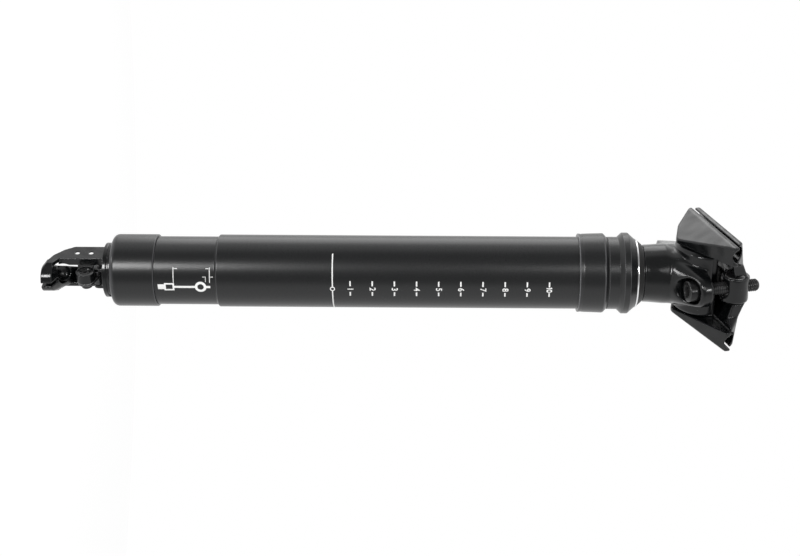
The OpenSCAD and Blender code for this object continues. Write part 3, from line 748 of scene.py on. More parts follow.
def forged(name: str, node: str, voxel: float, rounds: int) -> bpy.types.Object:
    """Copy a solid's mesh and round its edges as a forging's are.

    Args:
        name: Name of the new object.
        node: Solid to copy.
        voxel: Size of the new mesh's faces, in millimetres.
        rounds: Rounds of smoothing.

    Returns:
        The new object.
    """
    mesh = frame["nodes"][node].data.copy()
    mesh.name = name
    made = bmesh.new()
    made.from_mesh(mesh)
    bmesh.ops.remove_doubles(made, verts=made.verts, dist=TINY)
    made.to_mesh(mesh)
    made.free()
    obj = linked(name, mesh)
    remesh = obj.modifiers.new("remesh", "REMESH")
    remesh.mode = "VOXEL"
    remesh.voxel_size = voxel * MM
    smooth = obj.modifiers.new("smooth", "SMOOTH")
    smooth.factor = 0.5
    smooth.iterations = rounds
    applied(obj)
    obj.data.shade_smooth()
    return obj


@dataclass
class Assembly:
    """A group of pieces that are made together."""

    pieces: list[Piece] = field(default_factory=list, init=False)

    def build(self) -> None:
        """Make the assembly's meshes."""
        raise NotImplementedError

    def dress(self) -> None:
        """Give every piece its finish and its body."""
        for piece in self.pieces:
            piece.settle()

    def add(self, obj: bpy.types.Object, place: Place, finish: Finish) -> None:
        """Keep a made object as a piece of this assembly."""
        self.pieces.append(Piece(obj, place, finish))


@dataclass
class OuterPost(Assembly):
    """The tube with its collar, the seal head with its wiper, and the end cap."""

    tube_r: float = 17.45
    bore_r: float = 15.0
    foot_r: float = 16.45
    foot_z: float = -172.4
    foot_taper: float = 0.8
    thread_r: float = 15.95
    tube_end: float = -213.0
    collar_r: float = 19.1
    collar_h: float = 13.9
    waist: Point = (0.3, 1.9)
    shoulder: Point = (0.15, 2.3)
    swell: float = 0.17
    bevel: float = 1.6
    socket_r: float = 15.78
    socket_z: float = 2.9
    key_r: float = 15.56
    key_half: float = 1.56
    key_top: float = -12.7
    spigot_r: float = 15.75
    spigot_bore_r: float = 14.75
    groove_r: float = 16.9
    groove_h: float = 0.5
    seal_r: float = 17.5
    seal_h: float = 5.3
    bulge_r: float = 19.6
    bulge_low: float = 20.6
    bulge_high: float = 25.0
    bulge_step: float = 0.8
    rim_r: float = 16.55
    seal_top: float = 27.6
    pocket_z: float = 22.2
    lip_bore_r: float = 13.84
    lip_z: float = 16.9
    wiper_bore_r: float = 13.66
    wiper_r: float = 15.72
    wiper_neck_r: float = 14.7
    wiper_lip_r: float = 16.45
    wiper_waist: Point = (15.85, 28.85)
    wiper_top_r: float = 14.0
    wiper_top: float = 30.9
    band_bore_r: float = 14.73
    band_r: float = 16.72
    band_top: float = 28.35
    cap_r: float = 17.4
    cap_bore_r: float = 15.98
    cap_seat: float = -202.0
    cap_play: float = 0.1
    cap_floor: float = -214.0
    cap_bottom: float = -223.5
    shaft_r: float = 5.03
    ring_r: float = 13.8
    ring_step: float = 0.6
    ring_bottom: float = -225.4
    notch_r: float = 12.6
    notch_half: float = 1.5
    notch_turns: tuple[int, ...] = (45, 135, 225, 315)

    def build(self) -> None:
        """Turn each piece and cut the keyways and the lock ring's notches."""
        tube = self.lathe("outer_tube_turned", self.tube_outline())
        key_foot = self.tube_end - OVERCUT
        keyway = block((0, -self.key_half, key_foot), (self.key_r, self.key_half, self.key_top))
        carved(tube, keyway.around(KEY_TURNS))
        self.add(tube, Place("lower_post", "tube_black", ("outer_tube",)), TUBE_BLACK)
        head = self.lathe("seal_head_turned", self.seal_outline())
        self.add(head, Place("lower_post", "tube_black", ("seal_head",)), TUBE_BLACK)
        wiper = self.lathe("wiper_lip", self.wiper_outline())
        self.add(wiper, Place("lower_post", "rubber", ("wiper_seal",)), RUBBER)
        band = hoop(self.band_bore_r, self.band_r, self.seal_top, self.band_top, (0.0, 0.2), Facets.TUBE)
        bright = as_object("wiper_band", band)
        self.add(bright, Place("lower_post", "bright_ring", ("wiper_ring",)), BRIGHT_RING)
        cap = self.lathe("end_cap_turned", self.cap_outline(), steps=8)
        self.add(cap, Place("lower_post", "tube_black", ("end_cap",)), TUBE_BLACK)
        self.add(self.lock_ring(), Place("lower_post", "steel", ("shaft_lock_ring",)), FORGED_BLACK)

    def lathe(self, name: str, corners: Sequence[Corner], steps: int = 4) -> bpy.types.Object:
        """Return an object turned from an outline with rounded corners."""
        return as_object(name, turned(softened(corners, steps), Facets.TUBE))

    def tube_outline(self) -> list[Corner]:
        """Draw the tube with its foot and collar.

        Returns:
            Radius, height and corner radius of each point.
        """
        return [
            (self.bore_r, self.tube_end, 0.2), (self.thread_r, self.tube_end, 0.3),
            (self.thread_r, self.cap_seat, 0.0), (self.foot_r, self.cap_seat, 0.1),
            (self.foot_r, self.foot_z - self.foot_taper, 0.4), (self.tube_r, self.foot_z, 0.5),
            (self.tube_r, 0.0, 0.25), (self.collar_r, 0.0, 0.5),
            (self.collar_r - self.waist[0], self.waist[1], 0.15),
            (self.collar_r - self.shoulder[0], self.shoulder[1], 0.15),
            (self.collar_r + self.swell, self.collar_h - self.bevel, 1.2),
            (self.collar_r - self.bevel, self.collar_h, 0.5),
            (self.socket_r, self.collar_h, 0.1), (self.socket_r, self.socket_z, 0.0),
            (self.bore_r, self.socket_z, 0.2),
        ]

    def seal_outline(self) -> list[Corner]:
        """Draw the seal head with its spigot and its bulge.

        Returns:
            Radius, height and corner radius of each point.
        """
        groove_top = self.collar_h + self.groove_h
        bulge_foot_r = self.bulge_r - self.bulge_step
        return [
            (self.spigot_bore_r, self.socket_z, 0.1), (self.spigot_r, self.socket_z, 0.2),
            (self.spigot_r, self.collar_h, 0.0), (self.groove_r, self.collar_h, 0.0),
            (self.groove_r, groove_top, 0.0), (self.seal_r, groove_top, 0.15),
            (self.seal_r, self.collar_h + self.seal_h, 0.6), (bulge_foot_r, self.bulge_low, 0.5),
            (self.bulge_r, self.bulge_low + self.bulge_step, 0.6),
            (self.bulge_r, self.bulge_high - self.bulge_step, 0.6),
            (bulge_foot_r, self.bulge_high, 0.6), (self.rim_r, self.seal_top, 0.2),
            (self.spigot_r, self.seal_top, 0.1), (self.spigot_r, self.pocket_z, 0.0),
            (self.lip_bore_r, self.pocket_z, 0.1), (self.lip_bore_r, self.lip_z, 0.0),
            (self.spigot_bore_r, self.lip_z, 0.0),
        ]

    def wiper_outline(self) -> list[Corner]:
        """Draw the wiper with its lip.

        Returns:
            Radius, height and corner radius of each point.
        """
        return [
            (self.wiper_bore_r, self.pocket_z, 0.1), (self.wiper_r, self.pocket_z, 0.1),
            (self.wiper_r, self.seal_top, 0.0), (self.wiper_neck_r, self.seal_top, 0.0),
            (self.wiper_neck_r, self.band_top, 0.0), (self.wiper_lip_r, self.band_top, 0.15),
            (*self.wiper_waist, 0.4), (self.wiper_top_r, self.wiper_top, 0.15),
            (self.wiper_bore_r, self.wiper_top, 0.1),
        ]

    def cap_outline(self) -> list[Corner]:
        """Draw the end cap with its wide lower edge.

        Returns:
            Radius, height and corner radius of each point.
        """
        top = self.cap_seat - self.cap_play
        return [
            (self.shaft_r, self.cap_floor, 0.0), (self.shaft_r, self.cap_bottom, 0.2),
            (self.cap_r, self.cap_bottom, 2.8), (self.cap_r, top, 0.6),
            (self.cap_bore_r, top, 0.0), (self.cap_bore_r, self.cap_floor, 0.0),
        ]

    def lock_ring(self) -> bpy.types.Object:
        """Make the stepped ring under the end cap, with its four spanner notches.

        Returns:
            The ring's object.
        """
        middle = (self.cap_bottom + self.ring_bottom) / 2
        low_r = self.ring_r - self.ring_step
        ring = as_object("lock_ring_turned", turned(softened([
            (self.shaft_r, self.ring_bottom, 0.1), (low_r, self.ring_bottom, 0.25),
            (low_r, middle, 0.1), (self.ring_r, middle, 0.2),
            (self.ring_r, self.cap_bottom, 0.1), (self.shaft_r, self.cap_bottom, 0.0),
        ]), Facets.RING))
        notch = block(
            (self.notch_r, -self.notch_half, self.ring_bottom - OVERCUT),
            (self.ring_r + OVERCUT, self.notch_half, self.cap_bottom + OVERCUT),
        )
        return carved(ring, notch.around(self.notch_turns))


@dataclass
class Actuator(Assembly):
    """The bracket under the end cap with the lever, the pivot pin and the cable barrel."""

    base_z: float = -227.4
    turn_deg: float = 100.2
    pivot_q: float = 3.4
    pivot_depth: float = 4.25
    pin_r: float = 1.25
    pin_low: float = -7.3
    pin_high: float = 4.3
    barrel_q: float = 8.8
    barrel_depth: float = 8.5
    barrel_r: float = 4.4
    barrel_low: float = 0.3
    barrel_high: float = 5.1
    stud_r: float = 2.6
    stud_low: float = -3.5
    cable_r: float = 1.0
    cable_p: float = 1.2
    screw_r: float = 2.0
    screw_bore_r: float = 2.03
    screw_lead: float = 0.5
    screw_low: float = 2.3
    screw_high: float = 4.9
    hex_across: float = 2.0
    hex_low: float = 3.1

    def build(self) -> None:
        """Round the bracket and the lever, and turn the pin, the barrel and its screw."""
        bracket = forged("actuator_bracket_cast", "actuator_bracket", voxel=0.22, rounds=5)
        self.add(bracket, Place("lower_post", "forged_black", ("actuator_bracket",)), FORGED_BLACK)
        lever = forged("actuator_lever_pressed", "actuator_lever", voxel=0.14, rounds=3)
        self.add(lever, Place("lever", "steel", ("actuator_lever",)), DARK_STEEL)
        bar = rod(self.pin_r, self.pin_low, self.pin_high, (0.25, 0.25), Facets.SMALL)
        pin = as_object("pivot_pin_turned", bar.moved(self.across(self.pivot_q, self.pivot_depth)))
        self.add(pin, Place("lower_post", "steel", ("lever_pivot_pin",)), STEEL)
        self.build_barrel()

    def across(self, q: float, depth: float) -> Matrix:
        """Return the frame of a bar that crosses the actuator.

        Args:
            q: Distance from the post's axis towards the housing stop.
            depth: Depth under the base.

        Returns:
            A matrix that turns Z along the bar.
        """
        turn = Matrix.Rotation(math.radians(self.turn_deg), 4, "Z")
        whole = Matrix.Translation((0, 0, self.base_z)) @ turn
        return whole @ Matrix.Translation((0, q, -depth)) @ Matrix.Rotation(math.pi / 2, 4, "Y")

    def build_barrel(self) -> None:
        """Turn the barrel, drill it for the cable and sink its hex screw."""
        at = self.across(self.barrel_q, self.barrel_depth)
        outline = softened([
            (0.0, self.stud_low, 0.0), (self.stud_r, self.stud_low, 0.3),
            (self.stud_r, self.barrel_low, 0.1), (self.barrel_r, self.barrel_low, 0.35),
            (self.barrel_r, self.barrel_high, 0.4), (self.stud_r, self.barrel_high, 0.25),
            (self.screw_bore_r, self.barrel_high - self.screw_lead, 0.1),
            (self.screw_bore_r, self.screw_low, 0.0), (0.0, self.screw_low, 0.0),
        ])
        barrel = as_object("cable_barrel_turned", turned(outline, Facets.MIDDLE).moved(at))
        along = at @ Matrix.Translation((0, 0, self.cable_p)) @ Matrix.Rotation(math.pi / 2, 4, "Y")
        carved(barrel, [drill(self.cable_r, Facets.BORE).moved(along)])
        self.add(barrel, Place("barrel", "bolt_black", ("cable_barrel",)), FORGED_BLACK)
        bar = rod(self.screw_r, self.screw_low, self.screw_high, (0.2, 0.25), Facets.SMALL)
        screw = as_object("grub_screw_turned", bar.moved(at))
        socket = prism(6, self.hex_across, self.hex_low, self.screw_high + OVERCUT)
        carved(screw, [socket.moved(at)])
        self.add(screw, Place("barrel", "bolt_black", ("cable_grub_screw",)), BOLT_BLACK)


@dataclass
class UpperPost(Assembly):
    """The stanchion and the forged head that it carries."""

    stanchion_r: float = 13.6
    bore_r: float = 11.7
    low_z: float = -208.7
    neck_z: float = 31.2
    clip_r: float = 12.4
    clip_low: float = -207.13
    clip_high: float = -205.97
    key_floor_r: float = 12.67
    key_half: float = 1.53
    key_low: float = -185.73
    key_high: float = -165.67

    def build(self) -> None:
        """Turn the stanchion with its key pockets and round the head."""
        tube = as_object("stanchion_turned", turned(softened([
            (self.bore_r, self.low_z, 0.15), (self.stanchion_r, self.low_z, 0.4),
            (self.stanchion_r, self.neck_z, 0.1), (self.bore_r, self.neck_z, 0.0),
            (self.bore_r, self.clip_high, 0.0), (self.clip_r, self.clip_high, 0.0),
            (self.clip_r, self.clip_low, 0.0), (self.bore_r, self.clip_low, 0.0),
        ]), Facets.TUBE))
        pocket = block(
            (self.key_floor_r, -self.key_half, self.key_low),
            (self.stanchion_r + OVERCUT, self.key_half, self.key_high),
        )
        carved(tube, pocket.around(KEY_TURNS))
        self.add(tube, Place("upper_post", "stanchion_black", ("stanchion",)), STANCHION_BLACK)
        head = forged("saddle_head_forged", "saddle_head", voxel=0.36, rounds=36)
        self.add(head, Place("upper_post", "forged_black", ("saddle_head",)), FORGED_BLACK)


@dataclass
class SaddleClamp(Assembly):
    """The tilting cradle, the upper clamp and the two bolts with their nuts and washers."""

    axis_z: float = 63.2
    tilt_deg: float = 16.7
    nut_spread: float = 17.4
    nut_rise: float = 6.1
    nut_r: float = 5.0
    nut_len: float = 12.4
    nut_bore_r: float = 3.06
    rear_seat: Point = (-18.9, 57.5)
    front_seat: Point = (20.2, 48.5)
    bolt_r: float = 3.0
    bolt_len: float = 30.0
    thread_depth: float = 0.45
    thread_pitch: float = 1.0
    head_r: float = 5.0
    head_h: float = 6.0
    head_top: float = -1.45
    head_bite: float = 0.3
    hex_across: float = 5.0
    hex_depth: float = 3.5
    recess_r: float = 2.9
    recess_mouth_r: float = 3.6
    recess_depth: float = 0.35
    washer_bore_r: float = 3.05
    washer_r: float = 5.5
    washer_top: float = -0.45

    def build(self) -> None:
        """Round both halves of the clamp and make each bolt, washer and nut."""
        cradle = forged("lower_cradle_forged", "lower_cradle", voxel=0.36, rounds=14)
        self.add(cradle, Place("saddle_clamp", "forged_black", ("lower_cradle",)), FORGED_BLACK)
        upper = forged("upper_clamp_forged", "upper_clamp", voxel=0.36, rounds=24)
        self.add(upper, Place("saddle_clamp", "forged_black", ("upper_clamp",)), FORGED_BLACK)
        for side, seat, sign in (("rear", self.rear_seat, -1), ("front", self.front_seat, 1)):
            self.build_bolt(side, Vector((seat[0], 0, seat[1])), self.nut_place(sign))

    def nut_place(self, sign: int) -> Vector:
        """Find the middle of a barrel nut.

        Args:
            sign: 1 for the front nut and -1 for the rear one.

        Returns:
            The middle, in millimetres.
        """
        tilt = math.radians(self.tilt_deg)
        along = sign * self.nut_spread
        x = along * math.cos(tilt) + self.nut_rise * math.sin(tilt)
        z = self.axis_z - along * math.sin(tilt) + self.nut_rise * math.cos(tilt)
        return Vector((x, 0, z))

    def build_bolt(self, side: str, seat: Vector, nut: Vector) -> None:
        """Make one bolt with its washer and its barrel nut.

        Args:
            side: Name of the side, rear or front.
            seat: Middle of the ear's seat.
            nut: Middle of the barrel nut.
        """
        line = nut - seat
        at = Matrix.Translation(seat) @ Matrix.Rotation(math.atan2(line.x, line.z), 4, "Y")
        foot = self.head_top - self.head_h
        head = rod(self.head_r, foot, self.head_top, (0.7, 0.35), Facets.MIDDLE, steps=5)
        bolt = as_object(f"{side}_bolt_threaded", head.moved(at))
        mouth, floor = foot - OVERCUT, foot + self.recess_depth
        recess = [(0.0, mouth), (self.recess_mouth_r, mouth), (self.recess_r, floor), (0.0, floor)]
        socket = prism(6, self.hex_across, mouth, foot + self.hex_depth)
        carved(bolt, [socket.moved(at), turned(recess, Facets.SMALL).moved(at)])
        shank = thread(
            self.bolt_r, self.thread_depth, self.thread_pitch,
            self.head_top - self.head_bite, self.head_top + self.bolt_len,
        )
        combined(bolt, [as_object(f"{side}_shank", shank.moved(at), 60.0)], "UNION")
        self.add(bolt, Place(f"{side}_bolt", "bolt_black", (f"{side}_clamp_bolt",)), BOLT_BLACK)
        disc = hoop(
            self.washer_bore_r, self.washer_r, self.head_top, self.washer_top, (0.1, 0.25), Facets.MIDDLE
        )
        washer = as_object(f"{side}_washer_turned", disc.moved(at))
        self.add(washer, Place(f"{side}_bolt", "steel", (f"{side}_bolt_washer",)), DARK_STEEL)
        bar = rod(self.nut_r, -self.nut_len / 2, self.nut_len / 2, (0.4, 0.4), Facets.MIDDLE)
        lying = Matrix.Translation(nut) @ Matrix.Rotation(math.pi / 2, 4, "X")
        barrel = as_object(f"{side}_nut_turned", bar.moved(lying))
        hole = drill(self.nut_bore_r, Facets.SMALL).moved(at @ Matrix.Translation((0, 0, line.length)))
        carved(barrel, [hole])
        self.add(barrel, Place(f"{side}_nut", "steel", (f"{side}_barrel_nut",)), DARK_STEEL)


@dataclass
class InnerPieces(Assembly):
    """Solids whose own shape is right: the bushings, the keys, the seals and the cartridge."""

    def build(self) -> None:
        """Leave the solids as they are."""

    def dress(self) -> None:
        """Give every solid that still shows the finish of its slot."""
        slots = {part["node"]: part["material_slot"] for part in frame["record"]["subparts"]}
        for name, node in sorted(frame["nodes"].items()):
            if node.hide_render:
                continue
            finish = SLOT_FINISHES[slots[name]]
            for holder in node.material_slots:
                holder.link = "OBJECT"
                holder.material = finish.material()
            LOG.info("%s: solid kept, %s", name, finish.name)


class Mark(Enum):
    """Groups of printed marks."""

    SCALE = "scale_marks"
    LINE = "insertion_line"
    SIGN = "cable_sign"


@dataclass
class Print(Assembly):
    """White marks printed on the tube: the scale, the insertion line and the cable sign.

    A mark is laid out flat, along the arc and along the post, and is then bent round the tube.
    """

    tube_r: float = OuterPost.tube_r
    foot_r: float = OuterPost.foot_r
    turn_deg: float = 184.0
    proud: float = 0.03
    bend_from: float = -17.0
    bend_to: float = 19.1
    bend_step: float = 0.6
    cut_dist: float = 1e-5
    weld_dist: float = 1e-4
    first_z: float = -108.8
    pitch: float = 10.5
    count: int = 10
    ticks: tuple[Point, ...] = ((-4.0, -1.5), (1.7, 3.9))
    tick_half: float = 0.35
    digit_h: float = 2.8
    digit_share: float = 0.7
    digit_bold: float = 0.07
    digit_shift: float = 0.1
    digit_narrow: float = 0.95
    one: Point = (-1.1, -0.65)
    one_flag: Point = (-1.4, -1.1)
    one_flag_drop: Point = (0.75, 0.3)
    zero_a: float = 0.5
    zero_r: Point = (0.85, 0.45)
    line_z: float = -117.2
    line_half: float = 0.28
    line_bars: tuple[Point, ...] = ((-17.4, -0.95), (0.95, 19.2))
    line_eye_r: Point = (1.2, 0.75)
    sign_z: float = -200.8
    sign_housing: Bar = (-1.3, 1.3, 0.6, 3.6)
    sign_sleeve: tuple[Bar, ...] = (
        (-1.95, 1.95, 3.6, 4.4), (-1.95, 1.95, 7.6, 8.4), (-1.95, -1.2, 4.4, 7.6), (1.2, 1.95, 4.4, 7.6),
    )
    sign_cable: tuple[Bar, ...] = ((-0.55, 0.55, 8.4, 18.3), (-0.6, 0.6, 23.6, 25.5))
    sign_long_line: tuple[Bar, ...] = (
        (-9.6, -2.2, 7.92, 8.28), (-9.6, -2.2, 25.12, 25.48),
        (-9.2, -8.9, 8.5, 10.0), (-9.2, -8.9, 23.4, 24.9),
    )
    sign_short_line: tuple[Bar, ...] = (
        (-5.3, -2.6, 23.25, 23.5), (-5.2, -4.9, 21.9, 23.1), (-5.2, -4.9, 25.6, 27.0),
    )
    sign_eye_z: float = 20.9
    sign_eye_r: Point = (2.75, 1.5)

    def build(self) -> None:
        """Lay out the marks flat and wrap them round the tube."""
        scale = bmesh.new()
        for number in range(1, self.count + 1):
            z = self.first_z + self.pitch * (number - 1)
            for a0, a1 in self.ticks:
                self.bar(scale, a0, a1, z - self.tick_half, z + self.tick_half)
            if number < 10:
                self.digit(scale, str(number), z)
            else:
                self.ten(scale, z)
        self.wrap(scale, Mark.SCALE, self.tube_r)
        line = bmesh.new()
        for a0, a1 in self.line_bars:
            self.bar(line, a0, a1, self.line_z - self.line_half, self.line_z + self.line_half)
        self.ring(line, 0.0, self.line_z, self.line_eye_r)
        self.wrap(line, Mark.LINE, self.tube_r)
        sign = bmesh.new()
        self.sign(sign)
        self.wrap(sign, Mark.SIGN, self.foot_r)

    def bar(self, flat: bmesh.types.BMesh, a0: float, a1: float, z0: float, z1: float) -> None:
        """Add a plain bar.

        Args:
            flat: Mesh of the flat marks.
            a0: Start along the arc.
            a1: End along the arc.
            z0: Lower edge.
            z1: Upper edge.
        """
        corners = [flat.verts.new((a, z, 0)) for a, z in ((a0, z0), (a1, z0), (a1, z1), (a0, z1))]
        flat.faces.new(corners)

    def ring(self, flat: bmesh.types.BMesh, a: float, z: float, radii: Point, tall: float = 1.0) -> None:
        """Add a round or oval ring.

        Args:
            flat: Mesh of the flat marks.
            a: Middle along the arc.
            z: Middle along the post.
            radii: Outer and inner radius along the arc.
            tall: Length along the post for a length of one along the arc.
        """
        steps = 40
        turns = [2 * math.pi * i / steps for i in range(steps)]
        outer, inner = (
            [flat.verts.new((a + r * math.cos(turn), z + r * tall * math.sin(turn), 0)) for turn in turns]
            for r in radii
        )
        for i in range(steps):
            after = (i + 1) % steps
            flat.faces.new((inner[i], outer[i], outer[after], inner[after]))

    def ten(self, flat: bmesh.types.BMesh, z: float) -> None:
        """Add the scale's last number, whose two digits stand close between the bars.

        Args:
            flat: Mesh of the flat marks.
            z: Middle of the number along the post.
        """
        half = self.digit_h / 2
        low, high = self.one_flag_drop
        self.bar(flat, *self.one, z - half, z + half)
        self.bar(flat, *self.one_flag, z + half - low, z + half - high)
        self.ring(flat, self.zero_a, z, self.zero_r, half / self.zero_r[0])

    def digit(self, flat: bmesh.types.BMesh, text: str, z: float) -> None:
        """Add one of the scale's single numbers.

        Args:
            flat: Mesh of the flat marks.
            text: The number.
            z: Middle of the number along the post.
        """
        curve = bpy.data.curves.new("digits", "FONT")
        curve.body = text
        curve.align_x = "CENTER"
        curve.align_y = "CENTER"
        curve.size = self.digit_h / self.digit_share
        curve.offset = self.digit_bold
        holder = linked("digits", curve)
        bpy.context.view_layer.update()
        shown = holder.evaluated_get(bpy.context.evaluated_depsgraph_get())
        mesh = bpy.data.meshes.new_from_object(shown)
        narrow = Matrix.Diagonal((self.digit_narrow, 1, 1, 1))
        mesh.transform(Matrix.Translation((self.digit_shift, z, 0)) @ narrow)
        flat.from_mesh(mesh)
        bpy.data.objects.remove(holder)
        bpy.data.curves.remove(curve)
        bpy.data.meshes.remove(mesh)

    def sign(self, flat: bmesh.types.BMesh) -> None:
        """Add the plain sign of a cable end, with its two measuring lines.

        Args:
            flat: Mesh of the flat marks.
        """
        end = (self.sign_housing, *self.sign_sleeve, *self.sign_cable)
        for a0, a1, low, high in (*end, *self.sign_long_line, *self.sign_short_line):
            self.bar(flat, a0, a1, self.sign_z + low, self.sign_z + high)
        self.ring(flat, 0.0, self.sign_z + self.sign_eye_z, self.sign_eye_r)

    def wrap(self, flat: bmesh.types.BMesh, mark: Mark, radius: float) -> None:
        """Thicken flat marks, bend them round the tube and keep them as a piece.

        Args:
            flat: Mesh of the flat marks, along the arc and along the post.
            mark: Group of marks.
            radius: Radius that they lie on.
        """
        for a in np.arange(self.bend_from, self.bend_to, self.bend_step):
            geometry = flat.verts[:] + flat.edges[:] + flat.faces[:]
            bmesh.ops.bisect_plane(
                flat, geom=geometry, plane_co=(float(a), 0, 0), plane_no=(1, 0, 0), dist=self.cut_dist
            )
        bmesh.ops.remove_doubles(flat, verts=flat.verts, dist=self.weld_dist)
        bmesh.ops.recalc_face_normals(flat, faces=flat.faces)
        for face in flat.faces:
            if face.normal.z < 0:
                face.normal_flip()
        top = flat.faces[:]
        made = bmesh.ops.extrude_face_region(flat, geom=top)
        lifted = [v for v in made["geom"] if isinstance(v, bmesh.types.BMVert)]
        bmesh.ops.translate(flat, verts=lifted, vec=(0, 0, 1))
        for face in top:
            if face.is_valid:
                face.normal_flip()
        for vert in flat.verts:
            angle = math.radians(self.turn_deg) + vert.co.x / radius
            r = radius + (self.proud if vert.co.z > 0.5 else -self.proud)
            vert.co = Vector((r * math.cos(angle), r * math.sin(angle), vert.co.y)) * MM
        bmesh.ops.recalc_face_normals(flat, faces=flat.faces)
        mesh = bpy.data.meshes.new(mark.value)
        flat.to_mesh(mesh)
        flat.free()
        self.add(linked(mark.value, mesh), Place("lower_post"), WHITE_INK)


@dataclass
class Lamp:
    """A soft box, placed from the picture's own directions.

    Attributes:
        name: Name of the lamp.
        right: Distance towards the picture's right, in metres.
        up: Distance towards the picture's top.
        near: Distance towards the camera.
        width: Length along the picture's width.
        height: The other side.
        watts: Power.
    """

    name: str
    right: float
    up: float
    near: float
    width: float
    height: float
    watts: float


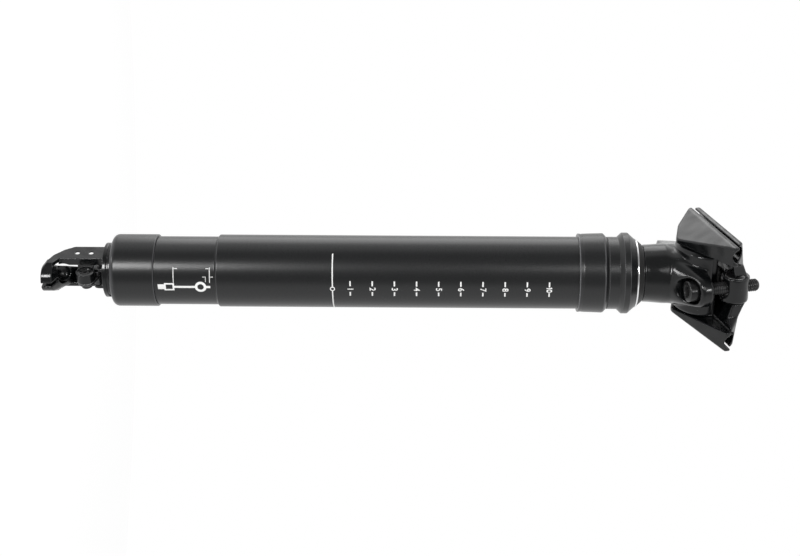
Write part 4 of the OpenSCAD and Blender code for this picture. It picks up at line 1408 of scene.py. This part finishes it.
@dataclass
class Studio:
    """Camera, soft boxes, white surroundings and a pale floor, in metres."""

    turn_deg: float = 24.8
    distance: float = 0.7126
    eye_z: float = -0.0667
    middle_z: float = -0.0856
    aim_drop: float = 0.003
    shift: float = -0.0487
    roll_deg: float = 0.36
    lens: float = 66.15
    sensor: float = 36.0
    clip: float = 0.01
    floor_z: float = -0.46
    floor_r: float = 1.2
    floor_grey: float = 0.86
    floor_glow: float = 0.4
    ambient: float = 0.65
    shade_deg: float = 14.0
    shade_range: Point = (0.42, 0.72)
    shade: float = 0.34
    lamps: tuple[Lamp, ...] = (
        Lamp("top_box", 0.0, 0.84, -0.42, 0.66, 0.56, 2.05),
        Lamp("left_strip", -0.39, 0.2, 0.85, 0.2, 0.24, 5.7),
        Lamp("right_strip", 0.36, 0.18, 0.85, 0.4, 0.2, 1.3),
        Lamp("left_spark", -0.62, 0.3, 0.41, 0.12, 0.12, 1.1),
        Lamp("right_spark", 0.68, 0.0, 0.72, 0.12, 0.12, 1.1),
    )

    def axes(self) -> tuple[Vector, Vector, Vector]:
        """Find the picture's own directions.

        Returns:
            The picture's right, its up and the way to the camera, in the frame of the post.
        """
        turn = math.radians(self.turn_deg)
        near = Vector((-math.cos(turn), math.sin(turn), 0))
        up = Vector((math.sin(turn), math.cos(turn), 0))
        return Vector((0, 0, 1)), up, near

    def build(self) -> None:
        """Make the camera, the lamps, the surroundings and the floor."""
        self.build_camera()
        for lamp in self.lamps:
            self.build_lamp(lamp)
        self.build_world()
        self.build_floor()
        bpy.context.scene.view_settings.view_transform = "Standard"

    def build_camera(self) -> None:
        """Place the camera where the photograph was taken, with the post along the picture."""
        right, up, near = self.axes()
        eye = near * self.distance + Vector((0, 0, self.eye_z))
        aim = Vector((0, 0, self.eye_z)) - up * self.aim_drop
        back = (eye - aim).normalized()
        roll = math.radians(self.roll_deg)
        side = right * math.cos(roll) + up * math.sin(roll)
        top = back.cross(side).normalized()
        side = top.cross(back).normalized()
        data = bpy.data.cameras.new("camera")
        data.lens = self.lens
        data.sensor_width = self.sensor
        data.shift_x = self.shift
        data.clip_start = self.clip
        camera = linked("camera", data)
        turn = Matrix((side, top, back)).transposed().to_4x4()
        camera.matrix_world = Matrix.Translation(eye) @ turn
        bpy.context.scene.camera = camera

    def build_lamp(self, lamp: Lamp) -> None:
        """Hang one soft box that faces the middle of the post.

        Args:
            lamp: The soft box.
        """
        right, up, near = self.axes()
        middle = Vector((0, 0, self.middle_z))
        place = middle + right * lamp.right + up * lamp.up + near * lamp.near
        back = (place - middle).normalized()
        side = (right - back * right.dot(back)).normalized()
        data = bpy.data.lights.new(lamp.name, "AREA")
        data.shape = "RECTANGLE"
        data.size = lamp.width
        data.size_y = lamp.height
        data.energy = lamp.watts
        turn = Matrix((side, back.cross(side), back)).transposed().to_4x4()
        linked(lamp.name, data).matrix_world = Matrix.Translation(place) @ turn

    def build_world(self) -> None:
        """Make the surroundings white where they are seen and softer where they only light."""
        world = bpy.data.worlds.new("studio")
        bpy.context.scene.world = world
        world.use_nodes = True
        world.cycles.sampling_method = "NONE"
        nodes = Nodes(world.node_tree)
        nodes.tree.nodes.clear()
        seen = nodes.add("ShaderNodeBackground")
        seen.inputs["Color"].default_value = (1, 1, 1, 1)
        nodes.link(self.shaded_side(nodes), seen.inputs["Strength"])
        soft = nodes.add("ShaderNodeBackground")
        soft.inputs["Color"].default_value = (1, 1, 1, 1)
        soft.inputs["Strength"].default_value = self.ambient
        mix = nodes.add("ShaderNodeMixShader")
        out = nodes.add("ShaderNodeOutputWorld")
        nodes.link(self.seen_rays(nodes), mix.inputs["Fac"])
        nodes.link(soft.outputs["Background"], mix.inputs[1])
        nodes.link(seen.outputs["Background"], mix.inputs[2])
        nodes.link(mix.outputs["Shader"], out.inputs["Surface"])

    def shaded_side(self, nodes: Nodes) -> Socket:
        """Darken what the post reflects of the camera's side of the studio.

        Args:
            nodes: Nodes to add to.

        Returns:
            A socket that is 1 for what the camera sees, and less on the shaded side for reflections.
        """
        _, up, near = self.axes()
        turn = math.radians(self.shade_deg)
        way = nodes.add("ShaderNodeTexCoord")
        side = nodes.add("ShaderNodeVectorMath")
        side.operation = "DOT_PRODUCT"
        side.inputs[1].default_value = near * math.cos(turn) + up * math.sin(turn)
        nodes.link(way.outputs["Generated"], side.inputs[0])
        tone = nodes.ranged(side.outputs["Value"], self.shade_range, (1.0, self.shade), "SMOOTHSTEP")
        path = nodes.add("ShaderNodeLightPath")
        return nodes.larger(path.outputs["Is Camera Ray"], tone)

    def seen_rays(self, nodes: Nodes) -> Socket:
        """Tell rays that show the surroundings from rays that only light.

        Args:
            nodes: Nodes to add to.

        Returns:
            A socket that is 1 for camera, glossy and transmission rays.
        """
        path = nodes.add("ShaderNodeLightPath")
        direct = nodes.larger(path.outputs["Is Camera Ray"], path.outputs["Is Glossy Ray"])
        return nodes.larger(direct, path.outputs["Is Transmission Ray"])

    def build_floor(self) -> None:
        """Lay a pale floor that shows white and still takes the shadow."""
        made = bmesh.new()
        bmesh.ops.create_circle(made, cap_ends=True, segments=96, radius=self.floor_r)
        mesh = bpy.data.meshes.new("floor")
        made.to_mesh(mesh)
        made.free()
        floor = linked("floor", mesh)
        floor.location = (0, 0, self.floor_z)
        paint = bpy.data.materials.new("pale_floor")
        paint.use_nodes = True
        nodes = Nodes(paint.node_tree)
        nodes.tree.nodes.clear()
        matt = nodes.add("ShaderNodeBsdfDiffuse")
        matt.inputs["Color"].default_value = (self.floor_grey, self.floor_grey, self.floor_grey, 1)
        glow = nodes.add("ShaderNodeEmission")
        lift = nodes.ranged(self.seen_rays(nodes), (0.0, 1.0), (0.0, self.floor_glow))
        nodes.link(lift, glow.inputs["Strength"])
        both = nodes.add("ShaderNodeAddShader")
        out = nodes.add("ShaderNodeOutputMaterial")
        nodes.link(matt.outputs["BSDF"], both.inputs[0])
        nodes.link(glow.outputs["Emission"], both.inputs[1])
        nodes.link(both.outputs["Shader"], out.inputs["Surface"])
        mesh.materials.append(paint)
        floor.visible_glossy = False


def main() -> None:
    """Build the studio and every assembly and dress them."""
    logging.basicConfig(level=logging.INFO, format="%(name)s: %(message)s")
    Studio().build()
    for assembly in (OuterPost(), Actuator(), UpperPost(), SaddleClamp(), Print(), InnerPieces()):
        assembly.build()
        assembly.dress()


if __name__ == "__main__":
    main()
